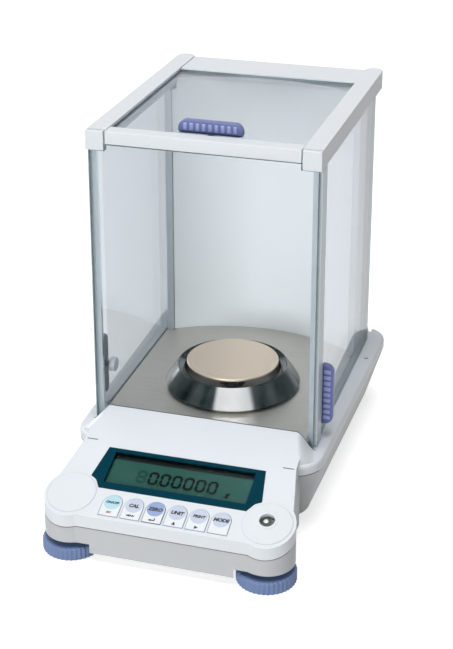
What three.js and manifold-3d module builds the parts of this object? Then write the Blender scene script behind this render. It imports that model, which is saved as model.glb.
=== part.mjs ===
// Semi-micro balance: a base with a sloping console, a glass draft shield with three sliding doors,
// a pan and its draft ring.
// Millimetres, +Z up. Places are measured from the pan's axis, the centre plane and the bench top.
import * as THREE from 'three';
import { mergeVertices } from 'three/addons/utils/BufferGeometryUtils.js';
import Module from 'manifold-3d';

const wasm = await Module();
wasm.setup();

// General
const clearance = 0.3;
const overrun = 5;
const weldDistance = 0.0001;
const roundSides = 60;
const smallSides = 12;
const cornerSteps = 8;

// Case
const wall = 2.5;
const ledgeWidth = 8.2;
const caseSplay = 5;
const caseFront = -116;
const caseRear = 150;
const caseCorner = 24;
const caseBottom = 7;
const sideUndercut = 14.5;
const frontUndercut = 12;
const rearUndercut = 3;
const seamFall = 8.6;
const deckHeight = 62;
const deckRound = 2.6;
const deckInset = 2.2;
const deckSteps = 3;

// Console, a plane that rises from its front edge to the hood's lip
const consoleTilt = THREE.MathUtils.degToRad(19.2);
const consoleFront = -192.6;
const consoleFall = 22.9;
const consoleNeckReach = 5;
const consoleNeckInset = 14.7;
const consoleFlareDepth = 33.6;
const consoleFlareInset = 7.2;
const consoleOverlap = 7;
const seamDrop = 10.7;
const lobeInset = 23.2;
const lobeDepth = 19.1;
const lobeRadius = 21.5;
const discRadius = 18.8;
const discRise = 0.5;

// Hood, between the console and the front glass
const lipY = -86.2;
const lipInset = 15.2;
const lipFootInset = 7.7;
const hoodSteps = 8;
const hoodSlices = 6;

// Display
const bezelTopInset = 14.2;
const bezelWaistInset = 9.4;
const bezelNotchInset = 14.4;
const bezelFootInset = 18.9;
const bezelBottom = 29;
const bezelNotch = 36.6;
const bezelWaist = 39.2;
const bezelTop = 69.3;
const bezelRise = 0.5;
const bezelDepth = 1.3;
const windowInset = 21;
const windowBottom = 35;
const windowTop = 66;
const apertureMargin = 1.5;
const lensThickness = 1;
const moduleThickness = 4.4;

// Keys
const keyCount = 6;
const keyRowInset = 26.1;
const keySpace = 1.9;
const keyBottom = 3.5;
const keyShoulder = 16;
const keyRise = 0.4;
const keyFlange = 0.6;
const keyFlangeThickness = 1.1;
const keyTravel = 0.8;
const plungerRadius = 1.5;
const plungerLength = 1.4;

// Control board
const boardThickness = 1.6;
const boardDepth = 8;
const boardInset = 14;
const boardBottom = 4.5;
const boardTop = 75;
const boardBossRadius = 2.6;
const boardBossInset = 3.5;
const boardBossLow = 11;
const boardBossHigh = 72;
const switchSize = 6;

// Level
const levelInset = 1;
const levelU = 23;
const levelRingRadius = 8.2;
const levelRingRise = 0.9;
const levelLensRadius = 5.7;
const levelDomeRise = 1.6;
const levelCupRadius = 6.5;
const levelCupHeight = 8.5;
const levelCupWall = 1;

// Levelling feet
const footDepth = 17.4;
const footRadius = 23.2;
const footHeight = 10;
const footChamfer = 1.2;
const footRibs = 40;
const footRibDepth = 0.8;
const footPadRadius = 15;
const footPadHeight = 1.2;
const footStemRadius = 4;
const footStemFall = 11.1;
const footBossRadius = 8;
const footBossFall = 1;
const wellTop = 14.5;
const wellRadius = 27;

// Rear feet
const rearFootInset = 19;
const rearFootDepth = 24;
const rearFootRadius = 10;
const rearFootPegRadius = 3;

// Draft shield
const shieldHalf = 93;
const shieldRise = 248;
const railHeight = 15.5;
const railWidth = 15.3;
const railRearGap = 2;
const railEndRadius = 7;
const railFront = -81.7;
const capFront = -86;
const capThickness = 4;
const capInset = 0.5;
const capProud = 0.3;
const frontRailFront = -85.3;
const frontRailRear = -72;
const frontRailHeight = 10.5;
const postWidth = 9;
const postFront = -81.2;
const postDepth = 15;
const postGroove = 1.5;
const frontGlassInset = 2.2;
const frontGlassThickness = 4;
const columnInset = 12;
const columnReach = 66;
const columnDepth = 14;

// Doors
const doorGlass = 3.5;
const doorInset = 2;
const doorFront = -65.4;
const doorRearGap = 25;
const slotDepth = 4.8;
const doorSeat = 0.4;
const railGrooveDepth = 4.4;
const railRebate = 4;
const topGlassThickness = 3;
const topGlassFall = 2.5;
const topGlassBite = 3.3;
const topGlassFront = -71.6;
const topGlassRearGap = 42;
const bridgeReach = 47.5;
const bridgeRearGap = 8;
const bridgeFall = 0.5;
const bridgeThickness = 1.7;

// Door grips
const gripLength = 52;
const gripReach = 9.7;
const gripThickness = 7;
const gripCorner = 7;
const gripRibs = 10;
const gripRibWidth = 2.2;
const gripRibRise = 0.7;
const gripY = -59.5;
const gripRise = 37.5;
const gripStemRadius = 2.2;
const nutRadius = 6;
const nutThickness = 5;

// Chamber
const floorRise = 4;
const floorSheet = 1.2;
const floorInset = 6.4;
const floorHole = 11;
const rearArcRadius = 150;
const rearArcGap = 40;
const rearWallThickness = 2;
const housingFall = 6.4;
const housingInset = 6.2;
const housingRearGap = 7;
const housingCorner = 10;
const housingWall = 2;

// Pan, its support and the draft ring
const panRadius = 40;
const panRise = 26;
const panSheet = 1.6;
const panRim = 3.6;
const supportRadius = 27;
const supportRim = 2;
const supportStem = 4;
const supportTip = 2.6;
const supportFall = 24;
const supportTaper = 4;
const ringBaseRadius = 57.3;
const ringTuck = 2.2;
const ringTuckHeight = 2.6;
const ringRimRadius = 46.8;
const ringRimRise = 22.2;
const ringRimWidth = 1;
const ringInnerRadius = 42.4;
const ringInnerRise = 13;
const ringSheet = 1.1;

// Chassis
const chassisInset = 9;
const chassisFrontGap = 22;
const chassisRearGap = 10;
const chassisThickness = 4.2;
const chassisPlanCorner = 12;
const pillarRadius = 4;
const pillarInset = 14;
const pillarFrontY = -74;
const pillarRearReach = 62;

// Weighing cell
const cellHalf = 30;
const cellFront = 13.6;
const cellRearGap = 53;
const cellFall = 19;
const cellSlot = 2;
const cellSlotInset = 5;
const cellSlotEnd = 8;
const fulcrumY = 60;
const fulcrumHalf = 4;
const fulcrumRise = 1;
const beamHalf = 6;
const beamThickness = 4.7;
const beamFront = 50;
const beamRearGap = 16;
const magnetReach = 29;
const magnetRadius = 20;
const magnetFall = 2;
const magnetCore = 9.5;
const magnetGap = 14.5;
const magnetGapFloor = 22;
const coilInner = 10.3;
const coilOuter = 13.7;
const coilBottom = 26;

// Load carrier
const carrierHalf = 13;
const carrierBottom = 18;
const carrierFall = 6;
const hookInner = 19;
const hookOuter = 25;
const hookFront = -36;
const hookThickness = 4;
const hookBar = 3;

// Adjustment weight and its drive
const weightRadius = 8;
const weightHalf = 30;
const weightY = -28;
const weightHeight = 34;
const weightDrop = 2.5;
const weightRelease = 1;
const weightRestGap = 0.3;
const lifterHalf = 9;
const lifterBottom = 18;
const lifterCradleTop = 31;
const lifterPost = 3.6;
const lifterArm = 3;
const lifterGuide = 3;
const lifterGuideTop = 38;
const camY = -50;
const camHeight = 30;
const camRadius = 10.6;
const camHalf = 5;
const camSteps = 24;
const shaftRadius = 2;
const motorRadius = 9.6;
const motorLength = 34;
const motorFootInset = 4;

// Main board
const mainInner = 40;
const mainInset = 11;
const mainFront = -20;
const mainRearGap = 72;
const mainHeight = 22;
const mainBossRadius = 3;
const mainBossInset = 6;
const mainPartRise = 10;
const mainPartShares = [[0.3, 0.2, 0.3, 0.16, 0.8], [0.7, 0.45, 0.2, 0.22, 0.5], [0.3, 0.75, 0.26, 0.2, 1]];

// Connectors
const portHeight = 32;
const portInset = 0.4;
const portDepth = 12;
const serialX = -44;
const serialHalf = 20;
const serialHalfHeight = 6.2;
const serialRim = 3;
const serialRecess = 5;
const jackX = 52;
const jackHalf = 6;
const jackHole = 3.2;
const jackPin = 1;
const jackRecess = 9;

// Sizes that follow others
const caseHalfWidth = shieldHalf + ledgeWidth;
const seamHeight = deckHeight - seamFall;
const consoleFrontHeight = deckHeight - consoleFall;
const consoleNeckY = caseFront - consoleNeckReach;
const consoleNeckHalf = caseHalfWidth - consoleNeckInset;
const consoleFlareY = consoleFront + consoleFlareDepth;
const consoleFlareHalf = caseHalfWidth - consoleFlareInset;
const consoleBack = caseFront + consoleOverlap;
const lobeX = caseHalfWidth - lobeInset;
const lobeY = consoleFront + lobeDepth;
const lipHalf = shieldHalf - lipInset;
const lipFootHalf = caseHalfWidth - lipFootInset;
const bezelTopHalf = lobeX - bezelTopInset;
const bezelWaistHalf = lobeX - bezelWaistInset;
const bezelNotchHalf = lobeX - bezelNotchInset;
const bezelFootHalf = lobeX - bezelFootInset;
const windowHalf = lobeX - windowInset;
const boardHalf = lobeX - boardInset;
const boardBossX = boardHalf - boardBossInset;
const levelX = lobeX - levelInset;
const footY = consoleFront + footDepth;
const footStemTop = consoleFrontHeight - footStemFall;
const footBossTop = footStemTop - footBossFall;
const rearFootX = shieldHalf - rearFootInset;
const rearFootY = caseRear - rearFootDepth;
const railTop = deckHeight + shieldRise;
const railRear = caseRear - railRearGap;
const railInner = shieldHalf - railWidth;
const capInner = railInner + capInset;
const frontGlassHalf = shieldHalf - frontGlassInset;
const columnInner = shieldHalf - columnInset;
const columnFront = caseRear - columnReach;
const doorOuter = shieldHalf - doorInset;
const doorRear = caseRear - doorRearGap;
const topGlassTop = railTop - topGlassFall;
const topGlassHalf = railInner + topGlassBite;
const topGlassRear = caseRear - topGlassRearGap;
const bridgeFront = caseRear - bridgeReach;
const bridgeRear = caseRear - bridgeRearGap;
const bridgeTop = railTop - bridgeFall;
const gripHeight = deckHeight + gripRise;
const floorTop = deckHeight + floorRise;
const floorHalf = shieldHalf - floorInset;
const rearArcDepth = caseRear - rearArcGap;
const housingTop = railTop - housingFall;
const housingHalf = shieldHalf - housingInset;
const housingRear = caseRear - housingRearGap;
const panTop = deckHeight + panRise;
const supportBottom = deckHeight - supportFall;
const ringRimHeight = deckHeight + ringRimRise;
const ringInnerHeight = deckHeight + ringInnerRise;
const chassisHalf = shieldHalf - chassisInset;
const chassisFront = caseFront + chassisFrontGap;
const chassisRear = caseRear - chassisRearGap;
const pillarX = shieldHalf - pillarInset;
const pillarRearY = caseRear - pillarRearReach;
const cellRear = caseRear - cellRearGap;
const cellTop = deckHeight - cellFall;
const beamRear = caseRear - beamRearGap;
const magnetY = caseRear - magnetReach;
const magnetTop = cellTop - magnetFall;
const carrierTop = deckHeight - carrierFall;
const mainOuter = shieldHalf - mainInset;
const mainRear = caseRear - mainRearGap;
const portOuterY = caseRear - portInset;
const keyPitch = ((lobeX - keyRowInset) * 2) / keyCount;
const keyWidth = keyPitch - keySpace;
const consoleRise = Math.tan(consoleTilt);
const consoleWall = wall / Math.cos(consoleTilt);
const innerFloor = caseBottom + wall;
const chassisBottom = innerFloor + clearance;
const chassisTop = chassisBottom + chassisThickness;
const railBottom = railTop - railHeight;
const frontRailBottom = railTop - frontRailHeight;
const shieldFoot = deckHeight + clearance;
const postTop = railBottom - clearance;
const doorInner = doorOuter - doorGlass;
const doorBottom = deckHeight - slotDepth + doorSeat;
const doorTop = railBottom + railGrooveDepth - doorSeat;
const topGlassBottom = topGlassTop - topGlassThickness;
const rearArcCentre = rearArcDepth - rearArcRadius;
const lifterDrop = weightDrop + weightRelease;
const lifterFront = weightY - weightRadius - clearance - lifterPost;
const footReach = footRadius - footY;
const panAxisY = (footReach - caseRear) / 2;

const consoleHeight = (y) => consoleFrontHeight + (y - consoleFront) * consoleRise;
const mixed = (a, b, share) => a + (b - a) * share;

// Solids
function toSolid(geometry) {
  const bare = new THREE.BufferGeometry();
  bare.setAttribute('position', geometry.getAttribute('position'));
  if (geometry.index) bare.setIndex(geometry.index);
  const merged = mergeVertices(bare, weldDistance);
  const index = merged.index.array;
  const corners = [];
  for (let i = 0; i < index.length; i += 3) {
    const [a, b, c] = [index[i], index[i + 1], index[i + 2]];
    if (a !== b && b !== c && c !== a) corners.push(a, b, c);
  }
  const vertProperties = new Float32Array(merged.getAttribute('position').array);
  const triVerts = new Uint32Array(corners);
  return new wasm.Manifold(new wasm.Mesh({ numProp: 3, vertProperties, triVerts }));
}

function toGeometry(solid) {
  const mesh = solid.getMesh();
  const geometry = new THREE.BufferGeometry();
  geometry.setAttribute('position', new THREE.BufferAttribute(mesh.vertProperties, 3));
  geometry.setIndex(new THREE.BufferAttribute(mesh.triVerts, 1));
  return geometry;
}

const join = (first, ...others) =>
  toGeometry(others.reduce((sum, shape) => sum.add(toSolid(shape)), toSolid(first)));
const cut = (first, ...tools) =>
  toGeometry(tools.reduce((rest, tool) => rest.subtract(toSolid(tool)), toSolid(first)));
const common = (first, ...others) =>
  toGeometry(others.reduce((shared, shape) => shared.intersect(toSolid(shape)), toSolid(first)));

function box(x0, x1, y0, y1, z0, z1) {
  const shape = new THREE.BoxGeometry(x1 - x0, y1 - y0, z1 - z0);
  return shape.translate((x0 + x1) / 2, (y0 + y1) / 2, (z0 + z1) / 2);
}

function upright(radius, z0, z1, x = 0, y = 0, sides = roundSides) {
  const shape = new THREE.CylinderGeometry(radius, radius, z1 - z0, sides);
  return shape.rotateX(Math.PI / 2).translate(x, y, (z0 + z1) / 2);
}

function across(radius, x0, x1, y, z, sides = roundSides) {
  const shape = new THREE.CylinderGeometry(radius, radius, x1 - x0, sides);
  return shape.rotateZ(Math.PI / 2).translate((x0 + x1) / 2, y, z);
}

// A plan outline, raised from z0 to z1
function prism(outline, z0, z1) {
  const settings = { depth: z1 - z0, bevelEnabled: false, curveSegments: cornerSteps };
  return new THREE.ExtrudeGeometry(outline, settings).translate(0, 0, z0);
}

// A side outline of (y, z) points, run from x0 to x1
function sideways(points, x0, x1) {
  const axes = new THREE.Matrix4().set(0, 0, 1, x0, 1, 0, 0, 0, 0, 1, 0, 0, 0, 0, 0, 1);
  return prism(new THREE.Shape(points), 0, x1 - x0).applyMatrix4(axes);
}

// A front outline of (x, z) points, run from y0 to y1
function lengthways(outline, y0, y1) {
  return prism(outline, 0, y1 - y0).rotateX(Math.PI / 2).translate(0, y1, 0);
}

// A closed profile of (radius, z) points, turned about an upright axis
function turned(points, x = 0, y = 0, sides = roundSides) {
  const profile = points.concat([points[0]]).map(([radius, z]) => new THREE.Vector2(radius, z));
  return new THREE.LatheGeometry(profile, sides).rotateX(Math.PI / 2).translate(x, y, 0);
}

const point = (x, y) => new THREE.Vector2(x, y);
const mirrored = (shape, side) => (side > 0 ? shape : turnedOver(shape));

// The same solid on the other side of the centre plane
function turnedOver(shape) {
  const copy = shape.clone().scale(-1, 1, 1);
  const index = copy.index ? Array.from(copy.index.array) : [...copy.getAttribute('position').array.keys()];
  const flipped = [];
  const count = copy.index ? index.length : copy.getAttribute('position').count;
  for (let i = 0; i < count; i += 3) flipped.push(index[i], index[i + 2], index[i + 1]);
  copy.setIndex(flipped);
  return copy;
}

function roundedPlan(x0, x1, y0, y1, radius) {
  const shape = new THREE.Shape();
  shape.absarc(x1 - radius, y1 - radius, radius, 0, Math.PI / 2);
  shape.absarc(x0 + radius, y1 - radius, radius, Math.PI / 2, Math.PI);
  shape.absarc(x0 + radius, y0 + radius, radius, Math.PI, Math.PI * 1.5);
  shape.absarc(x1 - radius, y0 + radius, radius, Math.PI * 1.5, Math.PI * 2);
  return shape;
}

// Outlines of equal length at rising heights, skinned and capped
function loft(levels) {
  const count = levels[0].outline.length;
  const places = levels.flatMap(({ z, outline }) => outline.flatMap((p) => [p.x, p.y, z]));
  const corners = [];
  for (let level = 0; level + 1 < levels.length; level += 1) {
    for (let i = 0; i < count; i += 1) {
      const a = level * count + i;
      const b = level * count + ((i + 1) % count);
      corners.push(a, b, b + count, a, b + count, a + count);
    }
  }
  const last = (levels.length - 1) * count;
  for (const [a, b, c] of THREE.ShapeUtils.triangulateShape(levels[0].outline, [])) {
    corners.push(a, c, b, last + a, last + b, last + c);
  }
  const shape = new THREE.BufferGeometry();
  shape.setAttribute('position', new THREE.Float32BufferAttribute(places, 3));
  shape.setIndex(corners);
  return shape;
}

// From the console's own plane (x, up the slope, out of the surface) to the balance
function onConsole(shape) {
  return shape.clone().rotateX(consoleTilt).translate(0, consoleFront, consoleFrontHeight);
}

// Pieces
const balance = new THREE.Group();
balance.position.y = panAxisY;

const looks = {
  cover: { color: 0xe6ebee, roughness: 0.45, metalness: 0 },
  lowerCase: { color: 0xc9c5bf, roughness: 0.5, metalness: 0 },
  bezel: { color: 0x0b4356, roughness: 0.3, metalness: 0 },
  clear: { color: 0xdfe9e6, roughness: 0.05, metalness: 0, transparent: true, opacity: 0.3 },
  display: { color: 0x3f6f62, roughness: 0.25, metalness: 0 },
  key: { color: 0xe9eef2, roughness: 0.5, metalness: 0 },
  board: { color: 0x1f6b3a, roughness: 0.6, metalness: 0 },
  grip: { color: 0x6b7bc0, roughness: 0.45, metalness: 0 },
  rubber: { color: 0x2b2b2b, roughness: 0.9, metalness: 0 },
  steel: { color: 0xb8b4ad, roughness: 0.25, metalness: 1 },
  polished: { color: 0xd5d5d3, roughness: 0.08, metalness: 1 },
  aluminium: { color: 0xb9bfc2, roughness: 0.35, metalness: 1 },
  casting: { color: 0x9da1a4, roughness: 0.6, metalness: 1 },
  copper: { color: 0xb4693a, roughness: 0.4, metalness: 1 },
  black: { color: 0x1c1d1f, roughness: 0.5, metalness: 0 },
  glass: { color: 0xcfe0dc, roughness: 0.03, metalness: 0, transparent: true, opacity: 0.25 },
};

function place(name, shape, look) {
  const geometry = toGeometry(toSolid(shape));
  geometry.computeVertexNormals();
  const material = new THREE.MeshStandardMaterial({ ...looks[look], flatShading: true });
  const mesh = new THREE.Mesh(geometry, material);
  mesh.name = name;
  balance.add(mesh);
}

const sides = [['left', -1], ['right', 1]];

// Case outlines, which widen evenly towards the rear
function splayed(outline) {
  return outline.getPoints(cornerSteps).map(({ x, y }) => {
    const share = (y - caseFront) / (caseRear - caseFront);
    return point(x + Math.sign(x) * caseSplay * share, y);
  });
}

function casePlan(z, inset) {
  const share = Math.max(0, (seamHeight - z) / (seamHeight - caseBottom));
  const halfWidth = caseHalfWidth - sideUndercut * share - inset;
  const front = caseFront + frontUndercut * share + inset;
  const rear = caseRear - rearUndercut * share - inset;
  return roundedPlan(-halfWidth, halfWidth, front, rear, caseCorner - inset);
}

const caseLevel = (z, inset) => ({ z, outline: splayed(casePlan(z, inset)) });

function consolePlan(inset) {
  const right = [
    [consoleNeckHalf - inset, consoleBack],
    [consoleNeckHalf - inset, consoleNeckY],
    [consoleFlareHalf - inset, consoleFlareY],
    [lobeX, lobeY],
    [lobeX, consoleFront + inset],
  ];
  const left = right.map(([x, y]) => [-x, y]).reverse();
  return new THREE.Shape([...left, ...right].map(([x, y]) => point(x, y)));
}

function consoleBody(inset, z0, z1) {
  const lobes = sides.map(([, side]) => upright(lobeRadius - inset, z0, z1, side * lobeX, lobeY));
  return join(prism(consolePlan(inset), z0, z1), ...lobes);
}

// Everything below the seam, or above it, as seen from the side
function seamSide(lift, far) {
  const front = consoleFront - lobeRadius - overrun;
  const kink = consoleFront + (seamHeight + seamDrop - consoleFrontHeight) / consoleRise;
  const rear = caseRear + overrun;
  const outline = [
    point(front, consoleHeight(front) - seamDrop + lift),
    point(kink, seamHeight + lift),
    point(rear, seamHeight + lift),
    point(rear, far),
    point(front, far),
  ];
  const reach = caseHalfWidth + caseSplay + overrun;
  return sideways(outline, -reach, reach);
}

// Everything under the console's plane, back to the hood's lip
function underConsole(drop, back) {
  const front = consoleFront - lobeRadius - overrun;
  const outline = [
    point(front, caseBottom),
    point(back, caseBottom),
    point(back, consoleHeight(back) - drop),
    point(front, consoleHeight(front) - drop),
  ];
  return sideways(outline, -caseHalfWidth, caseHalfWidth);
}

function lowerCase() {
  const outer = common(
    join(loft([caseLevel(caseBottom, 0), caseLevel(seamHeight, 0)]), consoleBody(0, caseBottom, seamHeight)),
    seamSide(-clearance / 2, -overrun),
  );
  const eachFoot = (radius, z0, z1, corners) =>
    sides.map(([, side]) => upright(radius, z0, z1, side * lobeX, footY, corners));
  const wells = eachFoot(wellRadius, -overrun, wellTop);
  const wellRoofs = eachFoot(wellRadius + wall, -overrun, wellTop + wall);
  const inner = cut(
    join(
      loft([caseLevel(innerFloor, wall), caseLevel(seamHeight, wall), caseLevel(deckHeight, wall)]),
      consoleBody(wall, innerFloor, deckHeight),
    ),
    ...wellRoofs,
  );
  const bosses = eachFoot(footBossRadius, wellTop + wall / 2, footBossTop);
  const bores = eachFoot(footStemRadius + clearance, -overrun, deckHeight, smallSides);
  const pegRadius = rearFootPegRadius + clearance;
  const pegHoles = sides.map(([, side]) =>
    upright(pegRadius, -overrun, innerFloor + overrun, side * rearFootX, rearFootY, smallSides));
  const serialHole = portHole(serialX, serialHalf, serialHalfHeight);
  const jackHoleCut = portHole(jackX, jackHalf, jackHalf);
  return cut(join(cut(outer, inner, ...wells), ...bosses), ...bores, ...pegHoles, serialHole, jackHoleCut);
}

function portHole(x, half, halfHeight) {
  const reach = [portOuterY - portDepth, caseRear + overrun];
  const x0 = x - half - clearance;
  const x1 = x + half + clearance;
  return box(x0, x1, ...reach, portHeight - halfHeight - clearance, portHeight + halfHeight + clearance);
}

// The cover round the chamber, with its upper edge rounded over
function deckLevels(inset) {
  const level = (z, extra) => ({ z, outline: splayed(deckOutline(inset + extra)) });
  const rounded = [...Array(deckSteps + 1).keys()].map((step) => {
    const angle = (step / deckSteps) * (Math.PI / 2);
    return level(deckHeight - inset - deckRound * (1 - Math.sin(angle)), deckInset * (1 - Math.cos(angle)));
  });
  return [level(caseBottom, 0), ...rounded];
}

function deckOutline(inset) {
  const halfWidth = caseHalfWidth - inset;
  return roundedPlan(-halfWidth, halfWidth, caseFront + inset, caseRear - inset, caseCorner - inset);
}

// The hood goes on in the console's plane and falls away smoothly to the deck at both ends
function hoodSection(y, drop, inset) {
  const share = (lipY - y) / (lipY - caseFront);
  const flat = mixed(lipHalf, consoleNeckHalf, share) - inset;
  const foot = mixed(lipFootHalf, caseHalfWidth - deckInset, share) - inset;
  const rise = consoleHeight(y) - deckHeight;
  const slope = [...Array(hoodSteps + 1).keys()].map((step) => {
    const part = step / hoodSteps;
    const height = 1 - part * part * (3 - 2 * part);
    return [mixed(flat, foot, part), deckHeight - drop + rise * height];
  });
  const right = [...slope, [foot, caseBottom]].reverse();
  const left = right.map(([x, z]) => [-x, z]).reverse();
  return [...right, ...left].map(([x, z]) => point(x, z));
}

function hood(drop, inset) {
  const levels = [...Array(hoodSlices + 1).keys()].map((slice) => {
    const depth = mixed(inset, lipY - caseFront, slice / hoodSlices);
    return { z: depth, outline: hoodSection(lipY - depth, drop, inset) };
  });
  const body = loft(levels).rotateX(Math.PI / 2).translate(0, lipY, 0);
  const plan = new THREE.Shape(splayed(deckOutline(deckInset + inset)));
  return common(body, prism(plan, caseBottom, railTop));
}

const slotX = [doorInner - clearance, doorOuter + clearance];
const slotFront = doorFront - clearance;

function doorSlots(side) {
  const floor = deckHeight - slotDepth;
  const bedTop = deckHeight - wall / 2;
  const bed = box(slotX[0] - wall, slotX[1] + wall, slotFront - wall, caseRear - wall, floor - wall, bedTop);
  const slot = box(slotX[0], slotX[1], slotFront, caseRear + overrun, floor, deckHeight + overrun);
  return [bed, slot].map((shape) => mirrored(shape, side));
}

function upperCover() {
  const consoleTop = consoleHeight(consoleBack);
  const outer = common(
    join(
      loft(deckLevels(0)),
      common(consoleBody(0, caseBottom, consoleTop), underConsole(0, consoleBack)),
      hood(0, 0),
      ...discs(),
      levelRing(),
    ),
    seamSide(clearance / 2, railTop),
  );
  const inner = join(
    loft(deckLevels(wall)),
    common(consoleBody(wall, caseBottom, consoleTop), underConsole(consoleWall, consoleBack)),
    hood(consoleWall, wall),
  );
  const slots = sides.map(([, side]) => doorSlots(side));
  const shell = join(cut(outer, inner), ...slots.map(([bed]) => bed), ...boardBosses());
  const stemHole = upright(floorHole, caseBottom, railTop);
  return cut(shell, ...slots.map(([, slot]) => slot), stemHole, ...displayCuts(), ...keyCuts(), levelCut());
}

// Raised discs on the two lobes
function discs() {
  const up = (lobeY - consoleFront) / Math.cos(consoleTilt);
  return sides.map(([, side]) => onConsole(upright(discRadius, -wall, discRise, side * lobeX, up)));
}

const levelRing = () =>
  onConsole(upright(levelRingRadius, -wall, levelRingRise, levelX, levelU, smallSides * 2));
const levelCut = () =>
  onConsole(upright(levelLensRadius + clearance, -footHeight, overrun, levelX, levelU, smallSides * 2));

function bezelOutline(grow) {
  const right = [
    [bezelFootHalf + grow / 2, bezelBottom - grow],
    [bezelNotchHalf + grow, bezelNotch - grow],
    [bezelWaistHalf + grow, bezelWaist],
    [bezelTopHalf + grow, bezelTop + grow],
  ];
  const left = right.map(([x, u]) => [-x, u]).reverse();
  return new THREE.Shape([...right, ...left].map(([x, u]) => point(x, u)));
}

const windowBox = (grow, n0, n1) =>
  box(-windowHalf - grow, windowHalf + grow, windowBottom - grow, windowTop + grow, n0, n1);

function displayCuts() {
  return [
    onConsole(prism(bezelOutline(clearance), -bezelDepth - clearance, overrun)),
    onConsole(windowBox(apertureMargin, -boardDepth, overrun)),
  ];
}

function keyOutline(grow) {
  const half = keyWidth / 2 + grow;
  const shape = new THREE.Shape();
  shape.moveTo(-half, keyBottom - grow);
  shape.lineTo(half, keyBottom - grow);
  shape.lineTo(half, keyShoulder);
  shape.absarc(0, keyShoulder, half, 0, Math.PI);
  return shape;
}

const keyX = (index) => (index - (keyCount - 1) / 2) * keyPitch;
const keyIndexes = [...Array(keyCount).keys()];
const keyHole = (index) => prism(keyOutline(clearance), -boardDepth, overrun).translate(keyX(index), 0, 0);
const keyCuts = () => keyIndexes.map((index) => onConsole(keyHole(index)));

function boardBosses() {
  const boss = (x, up) => onConsole(upright(boardBossRadius, -boardDepth, -wall / 2, x, up, smallSides));
  return sides.flatMap(([, side]) => [boardBossLow, boardBossHigh].map((up) => boss(side * boardBossX, up)));
}

// Console parts
function bezel() {
  return onConsole(cut(prism(bezelOutline(0), -bezelDepth, bezelRise), windowBox(0, -overrun, overrun)));
}

function displayLens() {
  const top = -bezelDepth - clearance;
  return onConsole(windowBox(apertureMargin - clearance, top - lensThickness, top));
}

function displayModule() {
  const bottom = clearance - boardDepth;
  return onConsole(windowBox(apertureMargin - clearance, bottom, bottom + moduleThickness));
}

function key(index) {
  const flangeTop = -wall - clearance;
  const flangeBottom = flangeTop - keyFlangeThickness;
  const up = (keyBottom + keyShoulder) / 2;
  const cap = prism(keyOutline(0), flangeTop - keyFlangeThickness / 2, keyRise);
  const flange = prism(keyOutline(keyFlange), flangeBottom, flangeTop);
  const plunger = upright(plungerRadius, flangeBottom - plungerLength, flangeTop, 0, up, smallSides);
  return onConsole(join(cap, flange, plunger).translate(keyX(index), 0, 0));
}

function controlBoard() {
  const under = -boardDepth - boardThickness;
  const plate = box(-boardHalf, boardHalf, boardBottom, boardTop, under, -boardDepth - clearance);
  const keyEnd = -wall - clearance - keyFlangeThickness - plungerLength;
  const switchTop = keyEnd - keyTravel - clearance;
  const up = (keyBottom + keyShoulder) / 2;
  const half = switchSize / 2;
  const switches = keyIndexes.map((index) =>
    box(keyX(index) - half, keyX(index) + half, up - half, up + half, under, switchTop));
  return onConsole(join(plate, ...switches));
}

const levelY = consoleFront + levelU * Math.cos(consoleTilt);
const levelCupTop = consoleHeight(levelY - levelCupRadius) - consoleWall - clearance;

function levelLens() {
  const dome = [];
  for (let step = 0; step <= cornerSteps; step += 1) {
    const angle = (step / cornerSteps) * (Math.PI / 2);
    dome.push([levelLensRadius * Math.cos(angle), levelDomeRise * Math.sin(angle)]);
  }
  const rim = [[0, -wall / 2], [levelLensRadius, -wall / 2]];
  return onConsole(turned([...rim, ...dome], 0, 0, smallSides * 2).translate(levelX, levelU, 0));
}

function levelCup() {
  const bottom = levelCupTop - levelCupHeight;
  const inner = levelCupRadius - levelCupWall;
  const profile = [
    [0, bottom],
    [levelCupRadius, bottom],
    [levelCupRadius, levelCupTop],
    [inner, levelCupTop],
    [inner, bottom + levelCupWall],
    [0, bottom + levelCupWall],
  ];
  return turned(profile, levelX, levelY, smallSides * 2);
}

// Feet
function footWheel(side) {
  const outline = (shrink) => {
    const points = [];
    for (let i = 0; i < footRibs * 2; i += 1) {
      const angle = (i * Math.PI) / footRibs;
      const radius = footRadius - shrink - (i % 2 ? footRibDepth : 0);
      points.push(point(radius * Math.cos(angle), radius * Math.sin(angle)));
    }
    return points;
  };
  const body = loft([
    { z: clearance, outline: outline(0) },
    { z: footHeight - footChamfer, outline: outline(0) },
    { z: footHeight, outline: outline(footChamfer) },
  ]);
  const bore = upright(footStemRadius + clearance, -overrun, footHeight + overrun, 0, 0, smallSides);
  const recess = upright(footPadRadius + clearance, -overrun, footPadHeight + clearance);
  return cut(body, bore, recess).translate(side * lobeX, footY, 0);
}

function footScrew(side) {
  const profile = [
    [0, 0],
    [footPadRadius, 0],
    [footPadRadius, footPadHeight],
    [footStemRadius, footPadHeight],
    [footStemRadius, footStemTop],
    [0, footStemTop],
  ];
  return turned(profile, side * lobeX, footY, smallSides * 2);
}

function rearFoot(side) {
  const profile = [
    [0, 0],
    [rearFootRadius, 0],
    [rearFootRadius, caseBottom - clearance],
    [rearFootPegRadius, caseBottom - clearance],
    [rearFootPegRadius, innerFloor],
    [0, innerFloor],
  ];
  return turned(profile, side * rearFootX, rearFootY, smallSides * 2);
}

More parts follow.
